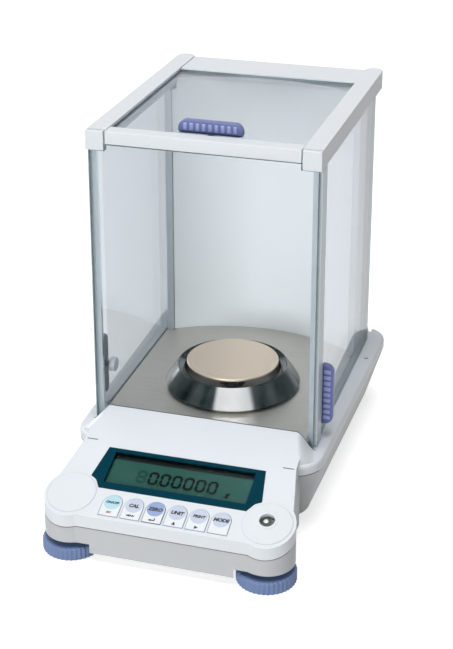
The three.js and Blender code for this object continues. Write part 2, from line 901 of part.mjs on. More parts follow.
// Draft shield
function sideRail() {
  const grooveTop = railBottom + railGrooveDepth;
  const slideLow = topGlassBottom - clearance;
  const slideHigh = topGlassTop + clearance;
  const slideDepth = topGlassHalf + clearance;
  const outline = [
    [railInner, frontRailBottom],
    [railInner + railRebate, frontRailBottom],
    [railInner + railRebate, railBottom],
    [slotX[0], railBottom],
    [slotX[0], grooveTop],
    [slotX[1], grooveTop],
    [slotX[1], railBottom],
    [shieldHalf, railBottom],
    [shieldHalf, railTop],
    [railInner, railTop],
    [railInner, slideHigh],
    [slideDepth, slideHigh],
    [slideDepth, slideLow],
    [railInner, slideLow],
  ];
  const bar = lengthways(new THREE.Shape(outline.map(([x, z]) => point(x, z))), railFront, railRear);
  const endPlan = new THREE.Shape();
  endPlan.moveTo(railInner - overrun, railFront - overrun);
  endPlan.lineTo(shieldHalf + overrun, railFront - overrun);
  endPlan.lineTo(shieldHalf + overrun, railRear - railEndRadius);
  endPlan.lineTo(shieldHalf, railRear - railEndRadius);
  endPlan.absarc(shieldHalf - railEndRadius, railRear - railEndRadius, railEndRadius, 0, Math.PI / 2);
  endPlan.lineTo(railInner + railEndRadius, railRear);
  endPlan.absarc(railInner + railEndRadius, railRear - railEndRadius, railEndRadius, Math.PI / 2, Math.PI);
  endPlan.lineTo(railInner - overrun, railRear - railEndRadius);
  return common(bar, prism(endPlan, railBottom - overrun, railTop + overrun));
}

const cornerCap = () =>
  box(capInner, shieldHalf + capProud, capFront, capFront + capThickness, railBottom - capProud, railTop);

const frontRail = () =>
  box(clearance - railInner, railInner - clearance, frontRailFront, frontRailRear, frontRailBottom, railTop);

function frontPost() {
  const rear = postFront + postDepth;
  const post = box(shieldHalf - postWidth, shieldHalf, postFront, rear, shieldFoot, postTop);
  const groove = box(slotX[0], slotX[1], rear - postGroove, rear + overrun, deckHeight, railTop);
  return cut(post, groove);
}

function rearColumn() {
  const outer = slotX[0] - clearance;
  return box(columnInner, outer, columnFront, columnFront + columnDepth, shieldFoot, postTop);
}

function frontGlass() {
  const upperHalf = railInner - clearance;
  const shape = new THREE.Shape([
    point(-frontGlassHalf, shieldFoot),
    point(frontGlassHalf, shieldFoot),
    point(frontGlassHalf, postTop),
    point(upperHalf, postTop),
    point(upperHalf, frontRailBottom - clearance),
    point(-upperHalf, frontRailBottom - clearance),
    point(-upperHalf, postTop),
    point(-frontGlassHalf, postTop),
  ]);
  const rear = postFront - clearance;
  return lengthways(shape, rear - frontGlassThickness, rear);
}

function sideGlass() {
  const pane = box(doorInner, doorOuter, doorFront, doorRear, doorBottom, doorTop);
  const hole = across(gripStemRadius + clearance, 0, caseHalfWidth, gripY, gripHeight, smallSides);
  return cut(pane, hole);
}

function topGlass() {
  const pane = box(-topGlassHalf, topGlassHalf, topGlassFront, topGlassRear, topGlassBottom, topGlassTop);
  return cut(pane, upright(gripStemRadius + clearance, deckHeight, railTop, 0, gripY, smallSides));
}

// A ribbed grip that stands on the xy plane, with its ribs towards -Y and its stem down through the glass
function grip(glass) {
  const end = gripLength / 2;
  const outline = new THREE.Shape();
  outline.moveTo(-end, 0);
  outline.lineTo(end, 0);
  outline.absarc(end - gripCorner, gripReach - gripCorner, gripCorner, 0, Math.PI / 2);
  outline.absarc(gripCorner - end, gripReach - gripCorner, gripCorner, Math.PI / 2, Math.PI);
  const fin = lengthways(outline, -gripThickness / 2, gripThickness / 2);
  const pitch = (gripLength - gripCorner) / gripRibs;
  const ribs = [...Array(gripRibs).keys()].map((index) => {
    const x = (index - (gripRibs - 1) / 2) * pitch;
    const top = gripReach - gripRibWidth;
    const half = gripRibWidth / 2;
    return box(x - half, x + half, -gripThickness / 2 - gripRibRise, 0, half, top);
  });
  const stem = upright(gripStemRadius, -glass - nutThickness - clearance, gripReach / 2, 0, 0, smallSides);
  return join(fin, ...ribs, stem);
}

function nut(glass) {
  const top = -glass - clearance * 2;
  const ring = upright(nutRadius, top - nutThickness, top, 0, 0, smallSides * 2);
  return cut(ring, upright(gripStemRadius + clearance, -railTop, overrun, 0, 0, smallSides));
}

const onSideDoor = (shape) => shape.rotateY(Math.PI / 2).translate(doorOuter + clearance, gripY, gripHeight);
const onTopDoor = (shape) => shape.translate(0, gripY, topGlassTop + clearance);

function rearBridge() {
  const half = railInner - clearance;
  return box(-half, half, bridgeFront, bridgeRear, bridgeTop - bridgeThickness, bridgeTop);
}

// Chamber
function arcPoints(radius, half, steps = roundSides / 2) {
  const reach = Math.asin(half / radius);
  return [...Array(steps + 1).keys()].map((step) => {
    const angle = mixed(reach, -reach, step / steps);
    return point(radius * Math.sin(angle), rearArcCentre + radius * Math.cos(angle));
  });
}

function floorOutline(inset) {
  const half = floorHalf - inset;
  const notchX = shieldHalf - postWidth - clearance - inset;
  const notchY = postFront + postDepth + clearance + inset;
  const front = postFront + inset;
  const rearX = columnInner - clearance - inset;
  const rearY = columnFront - clearance - inset;
  const arc = arcPoints(rearArcRadius - clearance - inset, rearX);
  const right = [
    point(notchX, front),
    point(notchX, notchY),
    point(half, notchY),
    point(half, rearY),
    point(rearX, rearY),
  ];
  const left = right.map((p) => point(-p.x, p.y)).reverse();
  return new THREE.Shape([...right, ...arc, ...left]);
}

function floorPlate() {
  const tray = prism(floorOutline(0), shieldFoot, floorTop);
  const inside = prism(floorOutline(floorSheet), shieldFoot - overrun, floorTop - floorSheet);
  return cut(tray, inside, upright(floorHole, caseBottom, railTop));
}

function underRails() {
  const room = box(railInner - clearance, caseHalfWidth, 0, caseRear, postTop, railTop);
  return sides.map(([, side]) => mirrored(room, side));
}

function rearWall() {
  const half = columnInner - clearance;
  const front = arcPoints(rearArcRadius, half);
  const back = arcPoints(rearArcRadius + rearWallThickness, half).reverse();
  return cut(prism(new THREE.Shape([...front, ...back]), shieldFoot, housingTop), ...underRails());
}

function housingOutline(inset) {
  const half = housingHalf - inset;
  const rear = housingRear - inset;
  const corner = housingCorner - inset;
  const neck = columnInner - clearance - inset;
  const step = columnFront + columnDepth + clearance + inset;
  const arc = arcPoints(rearArcRadius + rearWallThickness + clearance + inset, neck);
  const shape = new THREE.Shape(arc.reverse());
  shape.lineTo(neck, step);
  shape.lineTo(half, step);
  shape.absarc(half - corner, rear - corner, corner, 0, Math.PI / 2);
  shape.absarc(corner - half, rear - corner, corner, Math.PI / 2, Math.PI);
  shape.lineTo(-half, step);
  shape.lineTo(-neck, step);
  return shape;
}

function rearHousing() {
  const shell = prism(housingOutline(0), shieldFoot, housingTop);
  const inside = prism(housingOutline(housingWall), shieldFoot - overrun, postTop - housingWall);
  return cut(shell, inside, ...underRails());
}

// Pan, support and draft ring
function pan() {
  const under = panTop - panSheet;
  const profile = [
    [0, under],
    [panRadius - panSheet, under],
    [panRadius - panSheet, panTop - panRim],
    [panRadius, panTop - panRim],
    [panRadius, panTop - panSheet / 2],
    [panRadius - panSheet / 2, panTop],
    [0, panTop],
  ];
  return turned(profile);
}

function panSupport() {
  const top = panTop - panSheet - clearance;
  const profile = [
    [0, supportBottom],
    [supportTip, supportBottom],
    [supportStem, supportBottom + supportTaper],
    [supportStem, top - supportRim * 2],
    [supportRadius, top - supportRim],
    [supportRadius, top],
    [0, top],
  ];
  return turned(profile);
}

function draftRing() {
  const foot = floorTop + clearance;
  const profile = [
    [ringBaseRadius - ringTuck, foot],
    [ringBaseRadius, foot + ringTuckHeight],
    [ringRimRadius, ringRimHeight],
    [ringRimRadius - ringRimWidth, ringRimHeight],
    [ringInnerRadius, ringInnerHeight],
    [ringInnerRadius + ringSheet, ringInnerHeight],
    [ringRimRadius - ringSheet / 2, ringRimHeight - ringSheet * 2],
    [ringBaseRadius - ringSheet - ringTuck / 2, foot + ringTuckHeight],
    [ringBaseRadius - ringSheet - ringTuck, foot],
  ];
  return turned(profile);
}

// Chassis and what stands on it
function chassis() {
  const plan = roundedPlan(-chassisHalf, chassisHalf, chassisFront, chassisRear, chassisPlanCorner);
  const plate = prism(plan, chassisBottom, chassisTop);
  const pillarTop = deckHeight - wall - clearance;
  const pillars = sides.flatMap(([, side]) => [pillarFrontY, pillarRearY].map((y) =>
    upright(pillarRadius, chassisBottom, pillarTop, side * pillarX, y, smallSides)));
  const bosses = mainBossPlaces().map(([x, y]) =>
    upright(mainBossRadius, chassisBottom, mainHeight - clearance, x, y, smallSides));
  return join(plate, ...pillars, ...bosses, ...lifterGuides());
}

// Cheeks beside the lifter, which keep it upright
function lifterGuides() {
  const inner = lifterHalf + clearance;
  const rear = lifterFront + lifterPost;
  const cheek = box(inner, inner + lifterGuide, lifterFront, rear, chassisBottom, lifterGuideTop);
  return sides.map(([, side]) => mirrored(cheek, side));
}

const mainBossPlaces = () =>
  [mainFront + mainBossInset, mainRear - mainBossInset].flatMap((y) =>
    [-mainOuter + mainBossInset, -mainInner - mainBossInset].map((x) => [x, y]));

function mainBoard() {
  const top = mainHeight + boardThickness;
  const plate = box(-mainOuter, -mainInner, mainFront, mainRear, mainHeight, top);
  const parts = mainPartShares.map(([xShare, yShare, wideShare, longShare, riseShare]) => {
    const x = mixed(-mainOuter, -mainInner, xShare);
    const y = mixed(mainFront, mainRear, yShare);
    const halfWide = (wideShare * (mainOuter - mainInner)) / 2;
    const halfLong = (longShare * (mainRear - mainFront)) / 2;
    const partTop = top + riseShare * mainPartRise;
    return box(x - halfWide, x + halfWide, y - halfLong, y + halfLong, mainHeight, partTop);
  });
  return join(plate, ...parts);
}

function cellBlock() {
  const bottom = chassisTop + clearance;
  const block = box(-cellHalf, cellHalf, cellFront, cellRear, bottom, cellTop);
  const y0 = cellFront + cellSlotEnd;
  const y1 = cellRear - cellSlotEnd;
  const slot = (z) => box(-caseHalfWidth, caseHalfWidth, y0, y1, z, z + cellSlot);
  const slots = [slot(bottom + cellSlotInset), slot(cellTop - cellSlotInset - cellSlot)];
  const [front, rear] = [fulcrumY - fulcrumHalf, fulcrumY + fulcrumHalf];
  const fulcrum = box(-beamHalf, beamHalf, front, rear, cellTop - cellSlot, cellTop + fulcrumRise);
  return join(cut(block, ...slots), fulcrum);
}

const beamBottom = cellTop + fulcrumRise + clearance;
const cellBeam = () => box(-beamHalf, beamHalf, beamFront, beamRear, beamBottom, beamBottom + beamThickness);

function magnetPot() {
  const bottom = chassisTop + clearance;
  const profile = [
    [0, bottom],
    [magnetRadius, bottom],
    [magnetRadius, magnetTop],
    [magnetGap, magnetTop],
    [magnetGap, magnetGapFloor],
    [magnetCore, magnetGapFloor],
    [magnetCore, magnetTop],
    [0, magnetTop],
  ];
  return turned(profile, 0, magnetY);
}

function coil() {
  const top = beamBottom - clearance;
  const profile = [[coilInner, coilBottom], [coilOuter, coilBottom], [coilOuter, top], [coilInner, top]];
  return turned(profile, 0, magnetY);
}

function loadCarrier() {
  const rear = cellFront - clearance;
  const block = box(-carrierHalf, carrierHalf, -carrierHalf, rear, carrierBottom, carrierTop);
  const hookTop = weightHeight - weightRadius - weightDrop - weightRestGap;
  const hookLow = hookTop - hookThickness;
  const bar = box(-hookOuter, hookOuter, -carrierHalf - hookBar, -carrierHalf + hookBar, hookLow, hookTop);
  const hooks = sides.map(([, side]) =>
    mirrored(box(hookInner, hookOuter, hookFront, -carrierHalf, hookLow, hookTop), side));
  const socket = upright(supportStem + clearance, supportBottom - clearance, deckHeight);
  return cut(join(block, bar, ...hooks), socket);
}

const adjustmentWeight = () =>
  across(weightRadius, -weightHalf, weightHalf, weightY, weightHeight, smallSides * 2);

function weightLifter() {
  const notch = weightRadius + clearance;
  const armBottom = camHeight + camRadius + clearance;
  const armTop = armBottom + lifterArm;
  const cradle = box(-lifterHalf, lifterHalf, lifterFront, weightY + notch, lifterBottom, lifterCradleTop);
  const post = box(-lifterHalf, lifterHalf, lifterFront, lifterFront + lifterPost, lifterBottom, armTop);
  const arm = box(-camHalf, camHalf, camY - camHalf, lifterFront + lifterPost, armBottom, armTop);
  const room = across(notch, -weightHalf, weightHalf, weightY, weightHeight, smallSides * 2);
  return cut(join(cradle, post, arm), room);
}

// A heart cam: its radius falls evenly from the top to the bottom on both sides
function lifterCam() {
  const points = [...Array(camSteps).keys()].map((step) => {
    const angle = mixed(-Math.PI, Math.PI, step / camSteps);
    const radius = camRadius - (lifterDrop * Math.abs(angle)) / Math.PI;
    return point(camY - radius * Math.sin(angle), camHeight + radius * Math.cos(angle));
  });
  const reach = camHalf + overrun;
  const bore = across(shaftRadius + clearance, -reach, reach, camY, camHeight, smallSides);
  return cut(sideways(points, -camHalf, camHalf), bore);
}

function lifterMotor() {
  const front = camHalf + clearance * 2;
  const body = across(motorRadius, front, front + motorLength, camY, camHeight, smallSides * 2);
  const shaft = across(shaftRadius, -camHalf, front + overrun, camY, camHeight, smallSides);
  const foot = box(
    front + motorFootInset,
    front + motorLength - motorFootInset,
    camY - motorRadius + motorFootInset / 2,
    camY + motorRadius - motorFootInset / 2,
    chassisTop + clearance,
    camHeight,
  );
  return join(body, shaft, foot);
}

// Connectors in the rear wall
function serialPort() {
  const y0 = portOuterY - portDepth;
  const low = portHeight - serialHalfHeight;
  const high = portHeight + serialHalfHeight;
  const body = box(serialX - serialHalf, serialX + serialHalf, y0, portOuterY, low, high);
  const inner = serialHalf - serialRim;
  const floor = portOuterY - serialRecess;
  const margin = serialRim / 2;
  const sides = [serialX - inner, serialX + inner];
  const recess = box(...sides, floor, caseRear + overrun, low + margin, high - margin);
  return cut(body, recess);
}

function powerJack() {
  const y0 = portOuterY - portDepth;
  const [low, high] = [portHeight - jackHalf, portHeight + jackHalf];
  const body = box(jackX - jackHalf, jackX + jackHalf, y0, portOuterY, low, high);
  const hole = upright(jackHole, 0, jackRecess + overrun, 0, 0, smallSides * 2);
  const pin = upright(jackPin, -overrun, jackRecess - jackHole, 0, 0, smallSides);
  const socket = cut(hole, pin).rotateX(-Math.PI / 2).translate(jackX, portOuterY - jackRecess, portHeight);
  return cut(body, socket);
}

place('upper_cover', upperCover(), 'cover');
place('lower_case', lowerCase(), 'lowerCase');
place('display_bezel', bezel(), 'bezel');
place('display_window', displayLens(), 'clear');
place('display_module', displayModule(), 'display');
keyIndexes.forEach((index) => place(`key_${index + 1}`, key(index), 'key'));
place('control_board', controlBoard(), 'board');
place('level_lens', levelLens(), 'clear');
place('level_cup', levelCup(), 'black');
for (const [name, side] of sides) {
  place(`${name}_foot_wheel`, footWheel(side), 'grip');
  place(`${name}_foot_screw`, footScrew(side), 'steel');
  place(`${name}_rear_foot`, rearFoot(side), 'rubber');
  place(`${name}_side_rail`, mirrored(sideRail(), side), 'cover');
  place(`${name}_corner_cap`, mirrored(cornerCap(), side), 'cover');
  place(`${name}_front_post`, mirrored(frontPost(), side), 'aluminium');
  place(`${name}_rear_column`, mirrored(rearColumn(), side), 'aluminium');
  place(`${name}_door_glass`, mirrored(sideGlass(), side), 'glass');
  place(`${name}_door_grip`, mirrored(onSideDoor(grip(doorGlass)), side), 'grip');
  place(`${name}_door_nut`, mirrored(onSideDoor(nut(doorGlass)), side), 'cover');
}
place('top_door_glass', topGlass(), 'glass');
place('top_door_grip', onTopDoor(grip(topGlassThickness)), 'grip');
place('top_door_nut', onTopDoor(nut(topGlassThickness)), 'cover');
place('front_rail', frontRail(), 'cover');
place('rear_bridge', rearBridge(), 'cover');
place('front_glass', frontGlass(), 'glass');
place('floor_plate', floorPlate(), 'steel');
place('rear_wall', rearWall(), 'cover');
place('rear_housing', rearHousing(), 'cover');
place('pan', pan(), 'steel');
place('pan_support', panSupport(), 'aluminium');
place('draft_ring', draftRing(), 'polished');
place('chassis', chassis(), 'casting');
place('main_board', mainBoard(), 'board');
place('cell_block', cellBlock(), 'aluminium');
place('cell_beam', cellBeam(), 'aluminium');
place('magnet_pot', magnetPot(), 'steel');
place('coil', coil(), 'copper');
place('load_carrier', loadCarrier(), 'aluminium');
place('adjustment_weight', adjustmentWeight(), 'steel');
place('weight_lifter', weightLifter(), 'black');
place('lifter_cam', lifterCam(), 'black');
place('lifter_motor', lifterMotor(), 'steel');
place('serial_port', serialPort(), 'steel');
place('power_jack', powerJack(), 'black');

export default balance;
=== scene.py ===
import math
import bpy
from mathutils import Euler, Matrix, Vector


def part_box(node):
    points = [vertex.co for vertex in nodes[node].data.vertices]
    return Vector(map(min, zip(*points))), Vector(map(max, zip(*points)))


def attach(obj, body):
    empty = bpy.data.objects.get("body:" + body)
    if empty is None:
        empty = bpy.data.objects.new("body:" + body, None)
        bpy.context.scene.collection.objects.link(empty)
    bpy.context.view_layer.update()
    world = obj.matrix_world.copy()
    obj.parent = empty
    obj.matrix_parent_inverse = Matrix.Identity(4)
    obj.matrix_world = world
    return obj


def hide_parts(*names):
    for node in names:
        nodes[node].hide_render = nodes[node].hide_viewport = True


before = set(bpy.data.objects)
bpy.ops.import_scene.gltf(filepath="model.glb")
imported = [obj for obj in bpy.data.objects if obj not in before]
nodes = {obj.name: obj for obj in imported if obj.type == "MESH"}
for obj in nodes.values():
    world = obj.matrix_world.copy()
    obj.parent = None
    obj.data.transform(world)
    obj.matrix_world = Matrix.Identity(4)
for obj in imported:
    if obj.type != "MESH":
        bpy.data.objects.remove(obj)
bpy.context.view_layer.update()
mm = 0.001  # the sizes below are in millimetres
facing = 0.9  # a face's normal reaches this share of an axis when the face looks along it
weld = 0.002  # corners nearer than this are one corner
ends = {"left": -1, "right": 1}  # the side of each end on x

# where things are: the pan's axis taken from the solids, the console's plane given here
panLow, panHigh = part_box("pan")
panAxisY = (panLow[1] + panHigh[1]) / 2 / mm
console = {"tilt": math.radians(19.2), "front": -192.6, "height": 39.1}
consolePlace = Matrix.Translation((0, (panAxisY + console["front"]) * mm, console["height"] * mm))
consolePlace = consolePlace @ Matrix.Rotation(console["tilt"], 4, "X")
consoleOut = Vector((0, -math.sin(console["tilt"]), math.cos(console["tilt"])))

print("frame loaded,", len(nodes), "solids")


def wake(piece):
    if bpy.context.mode != "OBJECT":
        bpy.ops.object.mode_set(mode="OBJECT")
    bpy.ops.object.select_all(action="DESELECT")
    piece.select_set(True)
    bpy.context.view_layer.objects.active = piece


def named(name):
    piece = bpy.context.object
    piece.name = name
    piece.data.name = name
    return piece


def openEdit(piece, kind="FACE", everything=False):
    wake(piece)
    bpy.ops.object.mode_set(mode="EDIT")
    bpy.ops.mesh.select_mode(type=kind)
    bpy.ops.mesh.select_all(action="SELECT" if everything else "DESELECT")


def closeEdit():
    bpy.ops.object.mode_set(mode="OBJECT")


def pickFaces(piece, test):
    # faces are chosen by centre and normal, in millimetres
    openEdit(piece)
    closeEdit()
    for face in piece.data.polygons:
        face.select = bool(test(face.center / mm, face.normal))
    bpy.ops.object.mode_set(mode="EDIT")


def pickEdges(piece, test):
    # edges are chosen by their two corners, in millimetres
    openEdit(piece, "EDGE")
    closeEdit()
    for edge in piece.data.edges:
        edge.select = bool(test([piece.data.vertices[corner].co / mm for corner in edge.vertices]))
    bpy.ops.object.mode_set(mode="EDIT")


def fromFrame(node, name, flatAngle=0.4):
    piece = bpy.data.objects.new(name, nodes[node].data.copy())
    bpy.context.scene.collection.objects.link(piece)
    wake(piece)
    bpy.ops.mesh.customdata_custom_splitnormals_clear()
    openEdit(piece, everything=True)
    bpy.ops.mesh.remove_doubles(threshold=weld * mm)
    if flatAngle:
        bpy.ops.mesh.dissolve_limited(angle_limit=math.radians(flatAngle))
    closeEdit()
    return piece


def twin(piece, name):
    copy = bpy.data.objects.new(name, piece.data.copy())
    bpy.context.scene.collection.objects.link(copy)
    return copy


def merged(pieces, name):
    wake(pieces[0])
    if len(pieces) > 1:
        for piece in pieces:
            piece.select_set(True)
        bpy.ops.object.join()
    return named(name)


def at(x, y, z):
    return Matrix.Translation((x * mm, y * mm, z * mm))


def settled(piece, place):
    wake(piece)
    piece.matrix_world = place
    bpy.ops.object.transform_apply(location=True, rotation=True, scale=True)
    return piece


def onConsole(piece, x, up, rise):
    return settled(piece, consolePlace @ at(x, up, rise))


def smoothed(piece, angle=35):
    wake(piece)
    bpy.ops.object.shade_smooth_by_angle(angle=math.radians(angle))
    return piece


def rounded(piece, width, segments=2, angle=32):
    wake(piece)
    bevel = piece.modifiers.new("edgeRound", "BEVEL")
    bevel.width = width * mm
    bevel.segments = segments
    bevel.limit_method = "ANGLE"
    bevel.angle_limit = math.radians(angle)
    bevel.miter_outer = "MITER_ARC"
    bpy.ops.object.modifier_apply(modifier=bevel.name)
    smoothed(piece)
    evened = piece.modifiers.new("evenNormals", "WEIGHTED_NORMAL")
    evened.mode = "FACE_AREA"
    evened.keep_sharp = True
    bpy.ops.object.modifier_apply(modifier=evened.name)
    return piece


def dressed(piece, *finishes):
    piece.data.materials.clear()
    for finish in finishes:
        piece.data.materials.append(finish)
    return piece


def seat(piece, body, slot, *replaced):
    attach(piece, body)
    if replaced:
        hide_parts(*replaced)


def turnedWall(name, profile, steps):
    # a circle, extruded and scaled along the profile, left open in edit mode
    radius, height = profile[0]
    bpy.ops.object.select_all(action="DESELECT")
    bpy.ops.mesh.primitive_circle_add(vertices=steps, radius=radius * mm, location=(0, 0, height * mm))
    piece = named(name)
    bpy.ops.object.transform_apply(location=True)
    openEdit(piece, "EDGE", True)
    for nextRadius, nextHeight in profile[1:]:
        bpy.ops.mesh.extrude_region()
        grow = nextRadius / radius
        bpy.ops.transform.resize(value=(grow, grow, 1), center_override=(0, 0, height * mm))
        bpy.ops.transform.translate(value=(0, 0, (nextHeight - height) * mm))
        radius, height = nextRadius, nextHeight
    return piece


def outwards():
    bpy.ops.mesh.select_all(action="SELECT")
    bpy.ops.mesh.normals_make_consistent(inside=False)
    closeEdit()


def closedRing(name, profile, steps, place):
    # the first and last circles are joined, so the section is closed
    piece = turnedWall(name, profile, steps)

    def onRim(corners):
        return any(all(abs(corner.z - height) < weld and abs(corner.xy.length - radius) < weld
                       for corner in corners)
                   for radius, height in (profile[0], profile[-1]))

    pickEdges(piece, onRim)
    bpy.ops.mesh.bridge_edge_loops()
    outwards()
    return settled(piece, place)


def closedTurning(name, profile, steps, place):
    # both ends are filled, so the profile may stop short of the axis
    piece = turnedWall(name, profile, steps)
    bpy.ops.mesh.select_all(action="DESELECT")
    bpy.ops.mesh.select_mode(type="EDGE")
    bpy.ops.mesh.select_non_manifold()
    bpy.ops.mesh.fill_holes(sides=0)
    outwards()
    return settled(piece, place)


def quarterTurns(steps):
    return [math.radians(step * 90 / steps) for step in range(steps + 1)]


def slab(name, width, length, thickness, corner=0.0, cornerSteps=5):
    # a thin plate on the plane, its corners rounded in plan
    bpy.ops.object.select_all(action="DESELECT")
    bpy.ops.mesh.primitive_cube_add(size=1)
    piece = named(name)
    piece.scale = (width * mm, length * mm, thickness * mm)
    piece.location = (0, 0, thickness / 2 * mm)
    bpy.ops.object.transform_apply(location=True, scale=True)
    if corner:
        pickEdges(piece, lambda corners: abs(corners[0].z - corners[1].z) > thickness / 2)
        bpy.ops.mesh.bevel(offset=corner * mm, segments=cornerSteps, affect="EDGES")
        closeEdit()
    return piece


def disc(name, radius, thickness, steps=48, crownShare=0.985, shoulderShare=0.6):
    profile = [(radius * crownShare, thickness), (radius, thickness * shoulderShare), (radius, 0)]
    return closedTurning(name, profile, steps, Matrix())


def lettering(name, words, height, lean, depth, weightShare=0.06, curveSteps=3):
    bpy.ops.object.select_all(action="DESELECT")
    bpy.ops.object.text_add(location=(0, 0, 0))
    text = bpy.context.object
    text.data.body = words
    text.data.size = height * mm
    text.data.shear = lean
    text.data.offset = weightShare * height * mm
    text.data.extrude = depth / 2 * mm
    text.data.align_x = "CENTER"
    text.data.align_y = "CENTER"
    text.data.resolution_u = curveSteps
    bpy.ops.object.convert(target="MESH")
    return named(name)


def newFinish(name):
    finish = bpy.data.materials.new(name)
    finish.use_nodes = True
    tree = finish.node_tree
    return finish, tree, tree.nodes["Principled BSDF"]


def link(tree, source, target):
    tree.links.new(source, target)


def makeNode(tree, kind, values=None, **settings):
    node = tree.nodes.new("ShaderNode" + kind)
    for key, value in settings.items():
        setattr(node, key, value)
    for key, value in (values or {}).items():
        if isinstance(value, bpy.types.NodeSocket):
            link(tree, value, node.inputs[key])
        else:
            node.inputs[key].default_value = value
    return node


def objectCoords(tree, **values):
    coords = makeNode(tree, "TexCoord")
    return makeNode(tree, "Mapping", {"Vector": coords.outputs["Object"], **values}).outputs[0]


def grain(tree, scale, detail=2.0, stretch=(1, 1, 1)):
    place = objectCoords(tree, Scale=stretch)
    noise = makeNode(tree, "TexNoise", {"Vector": place, "Scale": scale, "Detail": detail})
    return noise.outputs["Fac"]


def spread(tree, source, low, high, fromLow=0.3, fromHigh=0.7):
    # nearly all of a grain's values lie between 0.3 and 0.7
    values = {"Value": source, "From Min": fromLow, "From Max": fromHigh, "To Min": low, "To Max": high}
    return makeNode(tree, "MapRange", values).outputs[0]


def blended(tree, share, first, second):
    mix = makeNode(tree, "Mix", data_type="RGBA")
    link(tree, share, mix.inputs["Factor"])
    for socket, colour in (("A", first), ("B", second)):
        if isinstance(colour, bpy.types.NodeSocket):
            link(tree, colour, mix.inputs[socket])
        else:
            mix.inputs[socket].default_value = (*colour, 1)
    return mix.outputs["Result"]


def roughen(tree, shader, height, look):
    values = {"Strength": look["grainStrength"], "Distance": look["grainDepth"] * mm, "Height": height}
    link(tree, makeNode(tree, "Bump", values).outputs[0], shader.inputs["Normal"])


roughWander = {
    "plastic": (-0.05, 0.07), "metal": (-0.06, 0.08), "turned": (0, 0.08), "glass": (0, 0.03),
    "panel": (-0.04, 0.06),
}


def setRoughness(tree, shader, pattern, look, kind):
    low, high = roughWander[kind]
    wander = spread(tree, pattern, look["roughness"] + low, look["roughness"] + high)
    link(tree, wander, shader.inputs["Roughness"])


def linear(red, green, blue):
    # a tone as seen on a screen, turned into the value that a shader takes
    def channel(value):
        share = value / 255
        return share / 12.92 if share <= 0.04045 else ((share + 0.055) / 1.055) ** 2.4
    return tuple(channel(value) for value in (red, green, blue))


def darkened(colour, share):
    return tuple(channel * (1 - share) for channel in colour)


def driftingColour(tree, share, look):
    return blended(tree, share, look["colour"], darkened(look["colour"], look["drift"]))


def mouldedPlastic(name, look):
    finish, tree, shader = newFinish(name)
    blotches = spread(tree, grain(tree, look["blotchScale"], detail=3), 0, 1)
    link(tree, driftingColour(tree, blotches, look), shader.inputs["Base Color"])
    fine = grain(tree, look["grainScale"])
    setRoughness(tree, shader, fine, look, "plastic")
    roughen(tree, shader, fine, look)
    shader.inputs["Specular IOR Level"].default_value = look.get("shine", 0.5)
    return finish


def workedMetal(name, look, lineShare=0.7, cloudShare=0.3):
    finish, tree, shader = newFinish(name)
    lines = grain(tree, look["grainScale"], detail=3, stretch=look["stretch"])
    cloud = grain(tree, look["blotchScale"])
    shares = {0: spread(tree, lines, 0, lineShare), 1: spread(tree, cloud, 0, cloudShare)}
    shade = makeNode(tree, "Math", shares)
    link(tree, driftingColour(tree, shade.outputs[0], look), shader.inputs["Base Color"])
    setRoughness(tree, shader, lines, look, "metal")
    roughen(tree, shader, lines, look)
    shader.inputs["Metallic"].default_value = look.get("metallic", 1.0)
    return finish


def turnedMetal(name, look):
    # painted reflections: bright and dark bands by the angle round the pan's axis, brightest towards the
    # front, standing in for the reflections on a spun and polished cone
    finish, tree, shader = newFinish(name)
    centred = objectCoords(tree, Location=(0, -panAxisY * mm, 0))
    sweep = makeNode(tree, "TexGradient", {"Vector": centred}, gradient_type="RADIAL").outputs["Fac"]
    ramp = makeNode(tree, "ValToRGB", {"Fac": sweep})
    stops = ramp.color_ramp.elements
    while len(stops) < len(look["paintedReflections"]):
        stops.new(0.5)
    for stop, (place, tone) in zip(stops, look["paintedReflections"]):
        stop.position = place
        stop.color = (tone, tone, tone, 1)
    streaks = grain(tree, look["streakScale"], detail=3, stretch=look["stretch"])
    streakTone = spread(tree, streaks, *look["streakTone"])
    tone = makeNode(tree, "Math", {0: ramp.outputs["Color"], 1: streakTone}, use_clamp=True)
    link(tree, blended(tree, tone.outputs[0], look["dark"], look["colour"]), shader.inputs["Base Color"])
    setRoughness(tree, shader, streaks, look, "turned")
    shader.inputs["Metallic"].default_value = 1.0
    return finish


def sheetGlass(name, look):
    # clear when faced squarely, more of a mirror the flatter it is seen
    finish, tree, shader = newFinish(name)
    smear = grain(tree, look["smearScale"])
    shader.inputs["Base Color"].default_value = (*look["gloss"], 1)
    shader.inputs["Metallic"].default_value = 1.0
    setRoughness(tree, shader, smear, look, "glass")
    clear = makeNode(tree, "BsdfTransparent")
    tint = blended(tree, spread(tree, smear, 0, 1), look["tint"], darkened(look["tint"], look["drift"]))
    link(tree, tint, clear.inputs["Color"])
    angle = makeNode(tree, "LayerWeight", {"Blend": 0.5})
    steep = makeNode(tree, "Math", {0: angle.outputs["Facing"], 1: look["falloff"]}, operation="POWER")
    share = spread(tree, steep.outputs[0], look["facing"], look["grazing"], 0, 1)
    glow = makeNode(tree, "MixShader", {0: share, 1: clear.outputs[0], 2: shader.outputs[0]})
    link(tree, glow.outputs[0], tree.nodes["Material Output"].inputs["Surface"])
    return finish


